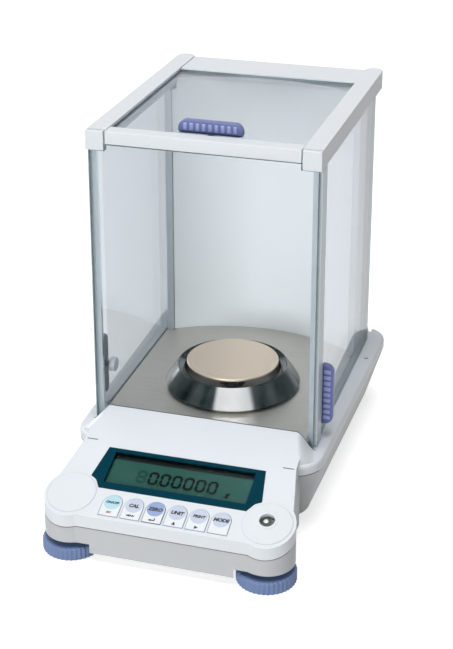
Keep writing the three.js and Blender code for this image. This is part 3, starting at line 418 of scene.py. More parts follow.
def displayPanel(name, look):
    # painted shadow: the panel is darker in a strip under the bezel's upper edge, where the bezel's shadow
    # falls
    finish, tree, shader = newFinish(name)
    flat = objectCoords(tree, Rotation=(-console["tilt"], 0, 0))
    up = makeNode(tree, "SeparateXYZ", {"Vector": flat}).outputs["Y"]
    turnedUp = (Matrix.Rotation(-console["tilt"], 3, "X") @ Vector(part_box("display_module")[1])).y
    shade = spread(tree, up, 0, 1, turnedUp - look["bandEnd"] * mm, turnedUp - look["bandStart"] * mm)
    body = driftingColour(tree, spread(tree, grain(tree, look["blotchScale"], detail=3), 0, 1), look)
    link(tree, blended(tree, shade, body, look["band"]), shader.inputs["Base Color"])
    setRoughness(tree, shader, grain(tree, look["grainScale"]), look, "panel")
    shader.inputs["Specular IOR Level"].default_value = look["shine"]
    return finish


looks = {
    "cover_white": mouldedPlastic("coverWhite", {
        "colour": linear(228, 233, 238), "drift": 0.015, "blotchScale": 14, "grainScale": 1500,
        "grainStrength": 0.12, "grainDepth": 0.05, "roughness": 0.42}),
    "case_grey": mouldedPlastic("caseGrey", {
        "colour": linear(196, 199, 202), "drift": 0.03, "blotchScale": 14, "grainScale": 1200,
        "grainStrength": 0.2, "grainDepth": 0.06, "roughness": 0.5}),
    "bezel_teal": mouldedPlastic("bezelTeal", {
        "colour": linear(0, 58, 74), "drift": 0.1, "blotchScale": 30, "grainScale": 900,
        "grainStrength": 0.1, "grainDepth": 0.03, "roughness": 0.35, "shine": 0.03}),
    # the display's dark top strip ('band', from 'bandStart' to 'bandEnd' below the module's top) is painted
    # shadow of the bezel
    "display_green": displayPanel("displayGreen", {
        "colour": linear(42, 92, 84), "drift": 0.12, "blotchScale": 25, "grainScale": 2500,
        "band": linear(3, 14, 16), "bandStart": 6.6, "bandEnd": 7.8, "roughness": 0.3, "shine": 0.1}),
    "key_white": mouldedPlastic("keyWhite", {
        "colour": linear(236, 240, 245), "drift": 0.02, "blotchScale": 40, "grainScale": 1800,
        "grainStrength": 0.1, "grainDepth": 0.03, "roughness": 0.5}),
    "circuit_board": mouldedPlastic("circuitBoard", {
        "colour": linear(30, 96, 54), "drift": 0.3, "blotchScale": 60, "grainScale": 700,
        "grainStrength": 0.3, "grainDepth": 0.1, "roughness": 0.5}),
    "foot_blue": mouldedPlastic("footBlue", {
        "colour": linear(110, 132, 176), "drift": 0.12, "blotchScale": 40, "grainScale": 1200,
        "grainStrength": 0.3, "grainDepth": 0.08, "roughness": 0.5}),
    "grip_blue": mouldedPlastic("gripBlue", {
        "colour": linear(102, 113, 168), "drift": 0.08, "blotchScale": 40, "grainScale": 1400,
        "grainStrength": 0.1, "grainDepth": 0.03, "roughness": 0.35}),
    "foot_rubber": mouldedPlastic("footRubber", {
        "colour": linear(42, 42, 44), "drift": 0.2, "blotchScale": 50, "grainScale": 1300,
        "grainStrength": 0.4, "grainDepth": 0.1, "roughness": 0.85}),
    "black_plastic": mouldedPlastic("blackPlastic", {
        "colour": linear(30, 31, 33), "drift": 0.2, "blotchScale": 40, "grainScale": 1300,
        "grainStrength": 0.3, "grainDepth": 0.06, "roughness": 0.5}),
    "wall_white": mouldedPlastic("wallWhite", {
        "colour": linear(248, 252, 255), "drift": 0.01, "blotchScale": 9, "grainScale": 1500,
        "grainStrength": 0.1, "grainDepth": 0.04, "roughness": 0.5}),
    "plain_steel": workedMetal("plainSteel", {
        "colour": linear(190, 190, 188), "drift": 0.15, "blotchScale": 30, "grainScale": 600,
        "stretch": (1, 1, 1), "grainStrength": 0.1, "grainDepth": 0.02, "roughness": 0.3}),
    "brushed_steel": workedMetal("brushedSteel", {
        "colour": linear(200, 196, 189), "drift": 0.22, "blotchScale": 8, "grainScale": 1800,
        "stretch": (0.02, 1, 1), "grainStrength": 0.15, "grainDepth": 0.02, "roughness": 0.42,
        "metallic": 0.75}),
    "pan_steel": workedMetal("panSteel", {
        "colour": linear(224, 206, 186), "drift": 0.1, "blotchScale": 20, "grainScale": 2200,
        "stretch": (1, 1, 1), "grainStrength": 0.2, "grainDepth": 0.02, "roughness": 0.34,
        "metallic": 0.85}),
    # the draft ring's bands are painted reflections: 'colour' is the painted highlight, 'dark' the painted
    # dark reflection on the flanks
    "polished_steel": turnedMetal("polishedSteel", {
        "colour": linear(240, 238, 236), "dark": linear(32, 46, 44), "roughness": 0.14,
        "streakScale": 160, "stretch": (1, 1, 0.05), "streakTone": (-0.02, 0.04),
        "paintedReflections": [
            (0.0, 0.0), (0.02, 0.22), (0.075, 0.2), (0.1, 0.0), (0.17, 0.0), (0.195, 0.06),
            (0.225, 0.0), (0.246, 0.02), (0.256, 0.85), (0.3, 1.0), (0.338, 0.85), (0.35, 0.1),
            (0.372, 0.0), (0.4, 0.05), (0.43, 0.0), (0.48, 0.0), (0.51, 0.24), (0.57, 0.2),
            (0.6, 0.0), (0.74, 0.02), (0.8, 0.6), (0.86, 0.02), (1.0, 0.0)]}),
    "post_aluminium": workedMetal("postAluminium", {
        "colour": linear(186, 195, 201), "drift": 0.1, "blotchScale": 12, "grainScale": 2600,
        "stretch": (1, 1, 0.02), "grainStrength": 0.08, "grainDepth": 0.01, "roughness": 0.4,
        "metallic": 0.25}),
    "cast_aluminium": workedMetal("castAluminium", {
        "colour": linear(165, 168, 170), "drift": 0.2, "blotchScale": 30, "grainScale": 700,
        "stretch": (1, 1, 1), "grainStrength": 0.5, "grainDepth": 0.1, "roughness": 0.6}),
    "coil_copper": workedMetal("coilCopper", {
        "colour": linear(190, 110, 66), "drift": 0.25, "blotchScale": 60, "grainScale": 3000,
        "stretch": (0.02, 0.02, 1), "grainStrength": 0.6, "grainDepth": 0.08, "roughness": 0.4}),
    "shield_glass": sheetGlass("shieldGlass", {
        "tint": (0.972, 0.982, 0.988), "drift": 0.01, "smearScale": 6, "falloff": 3.7,
        "facing": 0.007, "grazing": 0.93, "gloss": (0.56, 0.6, 0.65), "roughness": 0.02}),
    "clear_window": sheetGlass("clearWindow", {
        "tint": (0.97, 0.98, 0.975), "drift": 0.01, "smearScale": 20, "falloff": 4.5,
        "facing": 0.004, "grazing": 0.9, "gloss": (0.8, 0.84, 0.84), "roughness": 0.05}),
}

# finishes of small parts and prints, which share their grain
printGrain = {
    "drift": 0.1, "blotchScale": 60, "grainScale": 2500, "grainStrength": 0.05, "grainDepth": 0.01,
    "roughness": 0.5,
}
# the finishes made with this grain are mostly painted shadow in gaps, slits and seams, and the gasket's
# grey
shadeAndSealGrain = {
    "drift": 0.15, "blotchScale": 60, "grainScale": 1500, "grainStrength": 0.2, "grainDepth": 0.03,
    "roughness": 0.7,
}


def inkFinish(name, tone, **changes):
    return mouldedPlastic(name, {**printGrain, "colour": linear(*tone), **changes})


def shadeAndSealFinish(name, tone, **changes):
    return mouldedPlastic(name, {**shadeAndSealGrain, "colour": linear(*tone), **changes})


inkBlack = inkFinish("inkBlack", (22, 24, 30))
inkBrown = inkFinish("inkBrown", (150, 96, 52))
segmentBlack = inkFinish("segmentBlack", (4, 14, 14), roughness=0.4, shine=0.05)
segmentIdle = inkFinish("segmentIdle", (30, 72, 66), roughness=0.4, shine=0.05)
keyLine = inkFinish("keyLine", (186, 195, 214))
keyLineDark = inkFinish("keyLineDark", (122, 132, 158))
circleInks = {
    "pale": inkFinish("paleCircle", (202, 211, 230), drift=0.05),
    "cyan": inkFinish("cyanCircle", (186, 224, 236), drift=0.05),
    "strong": inkFinish("strongCircle", (148, 168, 214), drift=0.05),
}
slotShadow = shadeAndSealFinish("slotShadow", (70, 72, 78))
# painted shadow of the seam's gap
seamShadowGrey = shadeAndSealFinish("seamShadowGrey", (128, 126, 124))
# a gasket's grey, darkened as painted shade of the grip's root
gasketAndPaintedShade = shadeAndSealFinish("gasketAndPaintedShade", (70, 80, 100), shine=0.2)
# painted shade at the foot of each lobe disc's raised edge
lobeEdgeShade = shadeAndSealFinish("lobeEdgeShade", (204, 209, 215), drift=0.05, grainStrength=0.1, grainDepth=0.02,
                      roughness=0.6, shine=0.2)
bubbleWhite = inkFinish("bubbleWhite", (236, 240, 238), drift=0.03, grainScale=1500, roughness=0.12,
                        shine=0.8)
levelFluid = inkFinish("levelFluid", (58, 66, 62), drift=0.2, blotchScale=90, grainScale=1500,
                       roughness=0.15, shine=0.8)
glassEdge = mouldedPlastic("glassEdge", {
    "colour": linear(150, 172, 170), "drift": 0.25, "blotchScale": 30, "grainScale": 900,
    "grainStrength": 0.1, "grainDepth": 0.02, "roughness": 0.15, "shine": 0.7})
# painted highlight: the ribs are made lighter than the fin, so the grooves between them read as shade
ribPaintedHighlight = mouldedPlastic("ribPaintedHighlight", {
    "colour": linear(152, 161, 214), "drift": 0.06, "blotchScale": 40, "grainScale": 1400,
    "grainStrength": 0.1, "grainDepth": 0.03, "roughness": 0.25, "shine": 0.7})
postPolish = workedMetal("postPolish", {
    "colour": linear(226, 231, 236), "drift": 0.06, "blotchScale": 12, "grainScale": 2600,
    "stretch": (1, 1, 0.02), "grainStrength": 0.06, "grainDepth": 0.01, "roughness": 0.12,
    "metallic": 0.95})
sideGlass = sheetGlass("sideGlass", {
    "tint": (0.925, 0.936, 0.948), "drift": 0.01, "smearScale": 6, "falloff": 1.0,
    "facing": 0.007, "grazing": 0.55, "gloss": (0.56, 0.6, 0.64), "roughness": 0.02})

# solids inside the case that are shown as they are
nodeSlots = {
    "key_white": ["weight_lifter", "lifter_cam"],
    "circuit_board": ["control_board", "main_board"],
    "black_plastic": ["level_cup", "power_jack", "lifter_motor"],
    "plain_steel": ["left_foot_screw", "right_foot_screw", "adjustment_weight", "magnet_pot"],
    "cast_aluminium": ["chassis", "cell_block", "cell_beam", "load_carrier", "pan_support"],
    "coil_copper": ["coil"],
}
for slot, members in nodeSlots.items():
    for member in members:
        for place in nodes[member].material_slots:
            place.material = looks[slot]

print("finishes made,", len(bpy.data.materials))

# pieces that keep the solid's shape and get worked edges: node, name, body, slot, edge radius
workedParts = [
    ("upper_cover", "upperCover", "base", "cover_white", 0.4),
    ("lower_case", "lowerCase", "base", "case_grey", 0.5),
    ("display_bezel", "displayBezel", "base", "bezel_teal", 0.25),
    ("display_module", "displayModule", "base", "display_green", 0.15),
    ("rear_housing", "rearHousing", "base", "case_grey", 0.6),
    ("rear_wall", "rearWall", "base", "wall_white", 0.3),
    ("floor_plate", "floorPlate", "base", "brushed_steel", 0.3),
    ("front_rail", "frontRail", "base", "cover_white", 0.9),
    ("rear_bridge", "rearBridge", "base", "cover_white", 0.4),
    ("left_side_rail", "leftSideRail", "base", "cover_white", 0.7),
    ("right_side_rail", "rightSideRail", "base", "cover_white", 0.7),
    ("left_corner_cap", "leftCornerCap", "base", "cover_white", 0.9),
    ("right_corner_cap", "rightCornerCap", "base", "cover_white", 0.9),
    ("left_rear_column", "leftRearColumn", "base", "post_aluminium", 0.5),
    ("right_rear_column", "rightRearColumn", "base", "post_aluminium", 0.5),
    ("left_foot_wheel", "leftFootWheel", "left_wheel", "foot_blue", 0.25),
    ("right_foot_wheel", "rightFootWheel", "right_wheel", "foot_blue", 0.25),
    ("left_rear_foot", "leftRearFoot", "base", "foot_rubber", 0.6),
    ("right_rear_foot", "rightRearFoot", "base", "foot_rubber", 0.6),
    ("serial_port", "serialPort", "base", "plain_steel", 0.3),
]
keepTriangles = ["upper_cover"]  # dissolved, a face of this cover would close over the display's opening
for node, name, body, slot, radius in workedParts:
    shape = fromFrame(node, name, 0) if node in keepTriangles else fromFrame(node, name)
    seat(dressed(rounded(shape, radius), looks[slot]), body, slot, node)
print("worked parts made,", len(workedParts))

# front posts: angle profiles with a solid foot and head, polished inside
posts = {
    "half": 93.0, "leg": 3.2, "inner": 83.5, "front": -83.0, "flange": -77.9, "rear": -60.0,
    "foot": 66.0, "head": 294.0, "flangeWidth": 7.2, "edge": 0.4,
}
# the first cut clears the room behind the flange, the second one the flange's inner edge
postCuts = [(posts["leg"], posts["flange"]), (posts["flangeWidth"], posts["front"])]
for word, side in ends.items():
    post = fromFrame(word + "_front_post", word + "FrontPost")
    for reach, front in postCuts:
        width = posts["half"] - reach - posts["inner"]
        hollow = slab("postHollow", width, posts["rear"] - front, posts["head"] - posts["foot"])
        middleX = side * (posts["inner"] + width / 2)
        settled(hollow, at(middleX, panAxisY + (front + posts["rear"]) / 2, posts["foot"]))
        wake(post)
        cutter = post.modifiers.new("hollowCut", "BOOLEAN")
        cutter.object = hollow
        cutter.operation = "DIFFERENCE"
        bpy.ops.object.modifier_apply(modifier=cutter.name)
        bpy.data.objects.remove(hollow)
    dressed(rounded(post, posts["edge"]), looks["post_aluminium"], postPolish)
    for face in post.data.polygons:
        face.material_index = 1 if face.normal.x * side < -facing else 0
    seat(post, "base", "post_aluminium", word + "_front_post")
print("posts made")

# glass panes: clear faces and green cut edges, but the side doors' front edges are polished clear
panes = [  # node, name, body, the axis across the pane
    ("front_glass", "frontGlass", "base", "y"),
    ("left_door_glass", "leftDoorGlass", "left_door", "x"),
    ("right_door_glass", "rightDoorGlass", "right_door", "x"),
    ("top_door_glass", "topDoorGlass", "top_door", "z"),
    ("display_window", "displayWindow", "base", ""),
]
paneEdge = {"radius": 0.2, "steps": 1, "chamferFacing": 0.5}
for node, name, body, across in panes:
    pane = rounded(fromFrame(node, name), paneEdge["radius"], paneEdge["steps"])
    if not across:
        seat(dressed(pane, looks["clear_window"]), body, "clear_window", node)
        continue
    dressed(pane, sideGlass if across == "x" else looks["shield_glass"], glassEdge)
    for face in pane.data.polygons:
        polishedFront = across == "x" and face.normal.y < -paneEdge["chamferFacing"]
        clearFace = abs(getattr(face.normal, across)) > facing
        face.material_index = 0 if clearFace or polishedFront else 1
    seat(pane, body, "shield_glass", node)
print("panes made,", len(panes))

# door grips: a fin with rounded ends, ribs on both faces and a stem through the glass; the ribs are lighter
# than the fin, a painted highlight, and the gasket's dark grey is partly painted shade
grips = {
    "length": 52.0, "reach": 9.7, "thickness": 5.6, "corner": 7.0, "cornerSteps": 10, "edge": 1.0,
    "ribs": 9, "ribWidth": 3.2, "ribRise": 0.7, "ribEdge": 0.7, "ribEnd": 2.2, "edgeSteps": 3,
    "sharpAngle": 40, "stem": 2.2, "stemEdge": 0.5, "stemRoot": 1.0, "stemSteps": 32,
    "sideStem": 6.6, "topStem": 6.2, "foot": 1.6, "gasket": 8.4, "gasketThickness": 0.26,
    "gasketShort": 1.0, "gasketFlat": 0.2, "sideX": 91.3, "topZ": 307.8, "y": -59.5, "height": 99.5,
}


def ribbedGrip(name, stemLength):
    fin = slab(name + "Fin", grips["length"], grips["thickness"], grips["reach"])

    def upperCorner(corners):
        across = abs(corners[0].x - corners[1].x) < weld
        return across and all(corner.z > grips["reach"] / 2 for corner in corners)

    pickEdges(fin, upperCorner)
    bpy.ops.mesh.bevel(offset=grips["corner"] * mm, segments=grips["cornerSteps"], affect="EDGES")
    closeEdit()
    rounded(fin, grips["edge"], grips["edgeSteps"], grips["sharpAngle"])
    ribHeight = grips["reach"] - grips["foot"] - grips["ribEnd"]
    ribDepth = grips["thickness"] + 2 * grips["ribRise"]
    rib = slab(name + "Rib", grips["ribWidth"], ribDepth, ribHeight)
    rounded(rib, grips["ribEdge"], grips["edgeSteps"], grips["sharpAngle"])
    pitch = (grips["length"] - grips["corner"]) / grips["ribs"]
    parts = [fin]
    for index in range(grips["ribs"]):
        x = (index - (grips["ribs"] - 1) / 2) * pitch
        parts.append(settled(twin(rib, name + "Rib%d" % index), at(x, 0, grips["foot"])))
    bpy.data.objects.remove(rib)
    stemProfile = [
        (grips["stem"] - grips["stemEdge"], -stemLength), (grips["stem"], grips["stemEdge"] - stemLength),
        (grips["stem"], grips["stemRoot"])]
    parts.append(closedTurning(name + "Stem", stemProfile, grips["stemSteps"], Matrix()))
    gasketLength = grips["length"] - grips["gasketShort"]
    gasketCorner = grips["gasket"] / 2 - grips["gasketFlat"]
    gasket = slab(name + "Gasket", gasketLength, grips["gasket"], grips["gasketThickness"], gasketCorner)
    parts.append(settled(gasket, at(0, 0, -grips["gasketThickness"])))
    finishes = [looks["grip_blue"]] + [ribPaintedHighlight] * grips["ribs"] + [looks["grip_blue"], gasketAndPaintedShade]
    for part, finish in zip(parts, finishes):
        dressed(part, finish)
    return merged(parts, name)


gripY = panAxisY + grips["y"]
for word, side in ends.items():
    place = at(side * grips["sideX"], gripY, grips["height"]) @ Matrix.Rotation(side * math.pi / 2, 4, "Y")
    sideGrip = settled(ribbedGrip(word + "DoorGrip", grips["sideStem"]), place)
    seat(sideGrip, word + "_door", "grip_blue", word + "_door_grip")
topGrip = settled(ribbedGrip("topDoorGrip", grips["topStem"]), at(0, gripY, grips["topZ"]))
seat(topGrip, "top_door", "grip_blue", "top_door_grip")

# cap nuts that hold the grips from inside the chamber
caps = {
    "foot": 0.4, "edge": 0.9, "edgeFall": 0.3, "crown": 0.35, "crownFall": 0.25, "tip": 0.4, "steps": 48,
}
nutAxes = {"left": Vector((1, 0, 0)), "right": Vector((-1, 0, 0)), "top": Vector((0, 0, -1))}
for word, axis in nutAxes.items():
    low, high = (Vector(corner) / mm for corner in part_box(word + "_door_nut"))
    size = high - low
    depth = abs(size.dot(axis))
    radius = size.y / 2
    shoulder = depth - caps["crown"]
    edgeFall = caps["edge"] * caps["edgeFall"]
    capProfile = [
        (radius - caps["foot"], 0), (radius, caps["foot"]), (radius, shoulder - caps["edge"]),
        (radius - edgeFall, shoulder - edgeFall), (radius - caps["edge"], shoulder),
        (radius / 2, depth - caps["crown"] * caps["crownFall"]), (caps["tip"], depth)]
    outer = (low + high) / 2 - axis * depth / 2
    place = Matrix.Translation(outer * mm) @ axis.to_track_quat("Z", "Y").to_matrix().to_4x4()
    capNut = smoothed(closedTurning(word + "DoorNut", capProfile, caps["steps"], place))
    seat(dressed(capNut, looks["cover_white"]), word + "_door", "cover_white", word + "_door_nut")
print("grips made")

# a grey strip of painted shadow in the seam between cover and lower case: the cover's lowest band, a little
# proud
seam = {
    "height": 53.4, "drop": 10.7, "lift": 0.15, "band": 0.5, "proud": 0.05, "rear": 173.8,
    "squeeze": 0.9996,
}
seamTop = seam["height"] + seam["lift"] + seam["band"]
consoleDrop = seam["band"] + seam["lift"] - seam["drop"] * math.cos(console["tilt"])
seamShadowStrip = fromFrame("upper_cover", "seamShadowStrip")
openEdit(seamShadowStrip, everything=True)
bpy.ops.mesh.bisect(plane_co=(0, 0, seamTop * mm), plane_no=(0, 0, 1), use_fill=True, clear_outer=True)
bpy.ops.mesh.select_all(action="SELECT")
bpy.ops.mesh.bisect(plane_co=consolePlace @ Vector((0, 0, consoleDrop * mm)), plane_no=consoleOut,
                    use_fill=True, clear_outer=True)
bpy.ops.mesh.select_all(action="SELECT")
bpy.ops.transform.shrink_fatten(value=seam["proud"] * mm)
bpy.ops.mesh.bisect(plane_co=(0, seam["rear"] * mm, 0), plane_no=(0, 1, 0), use_fill=True, clear_outer=True)
closeEdit()
seamShadowStrip.scale = (seam["squeeze"], 1, 1)
bpy.ops.object.transform_apply(location=True, rotation=True, scale=True)
seat(dressed(seamShadowStrip, seamShadowGrey), "base", "black_plastic")
print("seam made")

# a dark strip of painted shadow in the gap between the hood's lip and the front glass
lip = {
    "y": -86.15, "half": 77.8, "foot": 93.3, "top": 76.15, "deck": 62.0, "band": 0.8, "depth": 0.45,
    "steps": 10,
}
lipLine = []
for step in range(lip["steps"] + 1):
    share = step / lip["steps"]
    fall = 1 - share * share * (3 - 2 * share)  # an even curve from the lip down to the deck
    lipLine.append((lip["half"] + (lip["foot"] - lip["half"]) * share,
                    lip["deck"] + (lip["top"] - lip["deck"]) * fall))
lipLine = [(-x, z) for x, z in reversed(lipLine)] + lipLine
bpy.ops.object.select_all(action="DESELECT")
bpy.ops.mesh.primitive_plane_add(size=1)
lipShadowStrip = named("lipShadowStrip")
lipShadowStrip.scale = (lip["depth"] * mm, lip["band"] * mm, 1)
lipShadowStrip.rotation_euler = (math.radians(90), 0, math.radians(90))
startX, startZ = lipLine[0]
lipShadowStrip.location = (startX * mm, (panAxisY + lip["y"] + lip["depth"] / 2) * mm, startZ * mm)
bpy.ops.object.transform_apply(location=True, rotation=True, scale=True)
openEdit(lipShadowStrip, everything=True)
for (x0, z0), (x1, z1) in zip(lipLine, lipLine[1:]):
    bpy.ops.mesh.extrude_region()
    bpy.ops.transform.translate(value=((x1 - x0) * mm, 0, (z1 - z0) * mm))
outwards()
seat(dressed(smoothed(lipShadowStrip), slotShadow), "base", "black_plastic")

# the slits beside the console, as dark strips of painted shadow, and a slightly darker ring of painted
# shade round each raised disc of the lobes
slits = {
    "length": 9.0, "width": 0.8, "up": 75.3, "x": 80.4, "rise": -0.2, "thickness": 0.24, "corner": 0.35,
}
lobeShade = {
    "x": 78.0, "radius": 19.0, "width": 0.35, "up": 20.2, "rise": 0.05, "foot": -0.1, "steps": 96,
}
lobeOuter = lobeShade["radius"] + lobeShade["width"]
lobeProfile = [
    (lobeShade["radius"], lobeShade["foot"]), (lobeShade["radius"], lobeShade["rise"]),
    (lobeOuter, lobeShade["rise"]), (lobeOuter, lobeShade["foot"])]
slitPair = []
lobeRings = []
for side in ends.values():
    slit = slab("consoleSlit", slits["length"], slits["width"], slits["thickness"], slits["corner"])
    slitPair.append(onConsole(slit, side * slits["x"], slits["up"], slits["rise"]))
    lobeRing = closedRing("lobeRing", lobeProfile, lobeShade["steps"], Matrix())
    lobeRings.append(onConsole(lobeRing, side * lobeShade["x"], lobeShade["up"], 0))
seat(dressed(merged(slitPair, "consoleSlits"), slotShadow), "base", "black_plastic")
seat(dressed(merged(lobeRings, "lobeShadeRings"), lobeEdgeShade), "base", "cover_white")

# door stop pins on the ledges, each on a dark flush collar of painted shadow for the hole round it
pin = {
    "x": 98.2, "y": 84.7, "z": 61.95, "collar": 1.7, "collarHeight": 0.12, "head": 1.0, "headHeight": 0.8,
    "steps": 32,
}
pinParts = []
for side in ends.values():
    collar = dressed(disc("pinHoleShade", pin["collar"], pin["collarHeight"], pin["steps"]), slotShadow)
    head = dressed(disc("pinHead", pin["head"], pin["headHeight"], pin["steps"]), looks["cover_white"])
    for part in (collar, head):
        pinParts.append(settled(part, at(side * pin["x"], panAxisY + pin["y"], pin["z"])))
seat(merged(pinParts, "stopPins"), "base", "plain_steel")
print("shadeStripsAndPins made")

# pan: a shallow dish with a groove near its rounded rim
panShape = {
    "radius": 38.9, "top": 88.0, "sheet": 1.4, "rim": 1.9, "round": 0.5, "roundSteps": 4, "centre": 0.4,
    "groove": 5.4, "grooveHalf": 0.6, "grooveDepth": 0.12, "rimEdge": 0.3, "fillet": 0.6, "steps": 128,
}
radius, top, sheet = panShape["radius"], panShape["top"], panShape["sheet"]
curve, groove, grooveHalf = panShape["round"], panShape["groove"], panShape["grooveHalf"]
rimFoot, fillet = top - panShape["rim"], panShape["fillet"]
panProfile = [
    (panShape["centre"], top), (radius - groove - grooveHalf, top),
    (radius - groove, top - panShape["grooveDepth"]), (radius - groove + grooveHalf, top)]
panProfile += [
    (radius - curve + curve * math.sin(turn), top - curve + curve * math.cos(turn))
    for turn in quarterTurns(panShape["roundSteps"])]
panProfile += [
    (radius, rimFoot + panShape["rimEdge"]), (radius - panShape["rimEdge"], rimFoot),
    (radius - sheet, rimFoot), (radius - sheet, top - sheet - fillet),
    (radius - sheet - fillet, top - sheet), (panShape["centre"], top - sheet)]
panDish = smoothed(closedTurning("panDish", panProfile, panShape["steps"], at(0, panAxisY, 0)))
seat(dressed(panDish, looks["pan_steel"]), "weighing_pan", "pan_steel", "pan")

# draft ring: a spun cone of sheet steel, given by radius and height round its section
ringShape = {
    "steps": 160, "smooth": 30,
    "bead": [(55.1, 66.3), (57.0, 68.3), (57.2, 69.1), (56.4, 70.3)],
    "rim": [(47.25, 83.6), (46.8, 84.08), (46.4, 84.2), (45.8, 84.0), (45.3, 83.3)],
    "flange": [(41.5, 81.9), (41.05, 81.6), (40.9, 81.1)],
    "collar": [(41.0, 75.3), (41.2, 75.0), (42.0, 75.0)],
    "inside": [(42.0, 80.8), (45.2, 82.0), (55.1, 68.9), (54.0, 66.3)],
}
ringProfile = [point for part in ("bead", "rim", "flange", "collar", "inside") for point in ringShape[part]]
ring = closedRing("draftRing", ringProfile, ringShape["steps"], at(0, panAxisY, 0))
smoothed(ring, ringShape["smooth"])
seat(dressed(ring, looks["polished_steel"]), "ring", "polished_steel", "draft_ring")
print("pan and ring made")

# display digits: one segment modelled, the rest copied
digits = {
    "count": 6, "width": 8.3, "height": 12.8, "stroke": 2.3, "gap": 0.25, "taper": 0.15, "pitch": 9.56,
    "firstX": -20.9, "up": 47.9, "rise": -3.28, "thickness": 0.06, "point": 1.3, "pointCorner": 0.3,
    "pointShift": 0.1, "pointLift": 0.6, "unitX": 39.6, "unitUp": 43.6, "unitHeight": 6.6, "unitLean": 0.3,
    "unitRise": 0.03,
}


def segmentBar(length):
    bar = slab("segmentBar", length - digits["stroke"], digits["stroke"], digits["thickness"])
    for side in ends.values():
        pickFaces(bar, lambda centre, normal: normal.x * side > facing)
        bpy.ops.mesh.extrude_region()
        bpy.ops.transform.translate(value=(side * (digits["stroke"] / 2 - digits["gap"] / 2) * mm, 0, 0))
        bpy.ops.transform.resize(value=(1, digits["taper"], 1), center_override=(0, 0, 0))
        closeEdit()
    return bar


def digitShape(name, segments):
    # segments go by the usual letters: a on top, b to f round it, g in the middle
    halfW = (digits["width"] - digits["stroke"]) / 2
    halfH = (digits["height"] - digits["stroke"]) / 2
    flatBar = segmentBar(digits["width"] - digits["stroke"])
    tallBar = segmentBar(halfH)
    places = {
        "a": (flatBar, 0, halfH, 0), "g": (flatBar, 0, 0, 0), "d": (flatBar, 0, -halfH, 0),
        "b": (tallBar, halfW, halfH / 2, 90), "c": (tallBar, halfW, -halfH / 2, 90),
        "e": (tallBar, -halfW, -halfH / 2, 90), "f": (tallBar, -halfW, halfH / 2, 90),
    }
    bars = []
    for letter in segments:
        source, x, up, turn = places[letter]
        place = at(x, up, 0) @ Matrix.Rotation(math.radians(turn), 4, "Z")
        bars.append(settled(twin(source, "segment" + letter), place))
    for source in (flatBar, tallBar):
        bpy.data.objects.remove(source)
    return merged(bars, name)


zero = digitShape("zeroShape", "abcdef")
readout = []
for index in range(digits["count"]):
    x = digits["firstX"] + index * digits["pitch"]
    readout.append(onConsole(twin(zero, "zero%d" % index), x, digits["up"], digits["rise"]))
bpy.data.objects.remove(zero)
pointMark = slab("pointMark", digits["point"], digits["point"], digits["thickness"], digits["pointCorner"])
pointX = digits["firstX"] + digits["pitch"] / 2 + digits["pointShift"]
pointUp = digits["up"] - digits["height"] / 2 + digits["pointLift"]
readout.append(onConsole(pointMark, pointX, pointUp, digits["rise"]))
unitMark = lettering("unitMark", "g", digits["unitHeight"], digits["unitLean"], digits["thickness"])
readout.append(onConsole(unitMark, digits["unitX"], digits["unitUp"], digits["rise"] + digits["unitRise"]))
seat(dressed(merged(readout, "displayDigits"), segmentBlack), "base", "display_green")
idleX = digits["firstX"] - digits["pitch"]
idle = onConsole(digitShape("idleDigit", "abcdefg"), idleX, digits["up"], digits["rise"])
seat(dressed(idle, segmentIdle), "base", "display_green")
print("digits made")

# six keys, each with its line, circle, word and mark
keys = {
    "pitch": 17.3, "line": 0.4, "edge": 0.2, "edgeSteps": 2, "sharpAngle": 40, "faceFacing": 0.99,
    "faceDepth": 0.1, "printRise": 0.4, "printThickness": 0.05, "circleUp": 16.6, "circleRadius": 6.7,
    "circleThickness": 0.03, "wordUp": 16.4, "wordHeight": 4.2, "wordSpan": 17, "wordLean": 0.15,
    "wordRise": 0.05, "markUp": 6.2, "markSize": 2.1, "markSquash": 0.85, "noteUp": 7.0,
    "noteHeight": 2.3, "noteLean": 0.1, "noteRise": 0.03,
}
keyPrints = [  # body, word, circle, mark below it, small word below it
    ("first_key", "ON/OFF", "cyan", "", "ESC"),
    ("second_key", "CAL", "pale", "", "MENU"),
    ("third_key", "ZERO", "strong", "enter", ""),
    ("fourth_key", "UNIT", "pale", "up", ""),
    ("fifth_key", "PRINT", "pale", "right", ""),
    ("sixth_key", "MODE", "pale", "", ""),
]
enterShape = {
    "line": 0.9, "stem": 2.6, "stemPlace": (1.9, 0.9), "foot": 3.4, "footPlace": (0.65, -0.1),
    "tip": 1.5, "tipPlace": (-1.4, -0.1),
}


def triangleMark(name, size, turn):
    bpy.ops.object.select_all(action="DESELECT")
    bpy.ops.mesh.primitive_circle_add(vertices=3, radius=size * mm, fill_type="NGON")
    mark = named(name)
    openEdit(mark, everything=True)
    bpy.ops.mesh.extrude_region()
    bpy.ops.transform.translate(value=(0, 0, keys["printThickness"] * mm))
    outwards()
    squash = Matrix.Scale(keys["markSquash"], 4, (1, 0, 0))
    return settled(mark, Matrix.Rotation(math.radians(turn), 4, "Z") @ squash)


def enterMark(name):
    stem = slab(name, enterShape["line"], enterShape["stem"], keys["printThickness"])
    foot = slab(name + "Foot", enterShape["foot"], enterShape["line"], keys["printThickness"])
    tip = triangleMark(name + "Tip", enterShape["tip"], 90)
    for part, key in ((stem, "stemPlace"), (foot, "footPlace"), (tip, "tipPlace")):
        settled(part, at(*enterShape[key], 0))
    return merged([stem, foot, tip], name)


markMakers = {
    "up": lambda: triangleMark("upMark", keys["markSize"], 0),
    "right": lambda: triangleMark("rightMark", keys["markSize"], -90),
    "enter": lambda: enterMark("enterMark"),
}
facePoint = consolePlace @ Vector((0, 0, (keys["printRise"] - keys["faceDepth"]) * mm))
faceHeight = facePoint.dot(consoleOut) / mm


def topFace(centre, normal):
    return normal.dot(consoleOut) > keys["faceFacing"] and centre.dot(consoleOut) > faceHeight


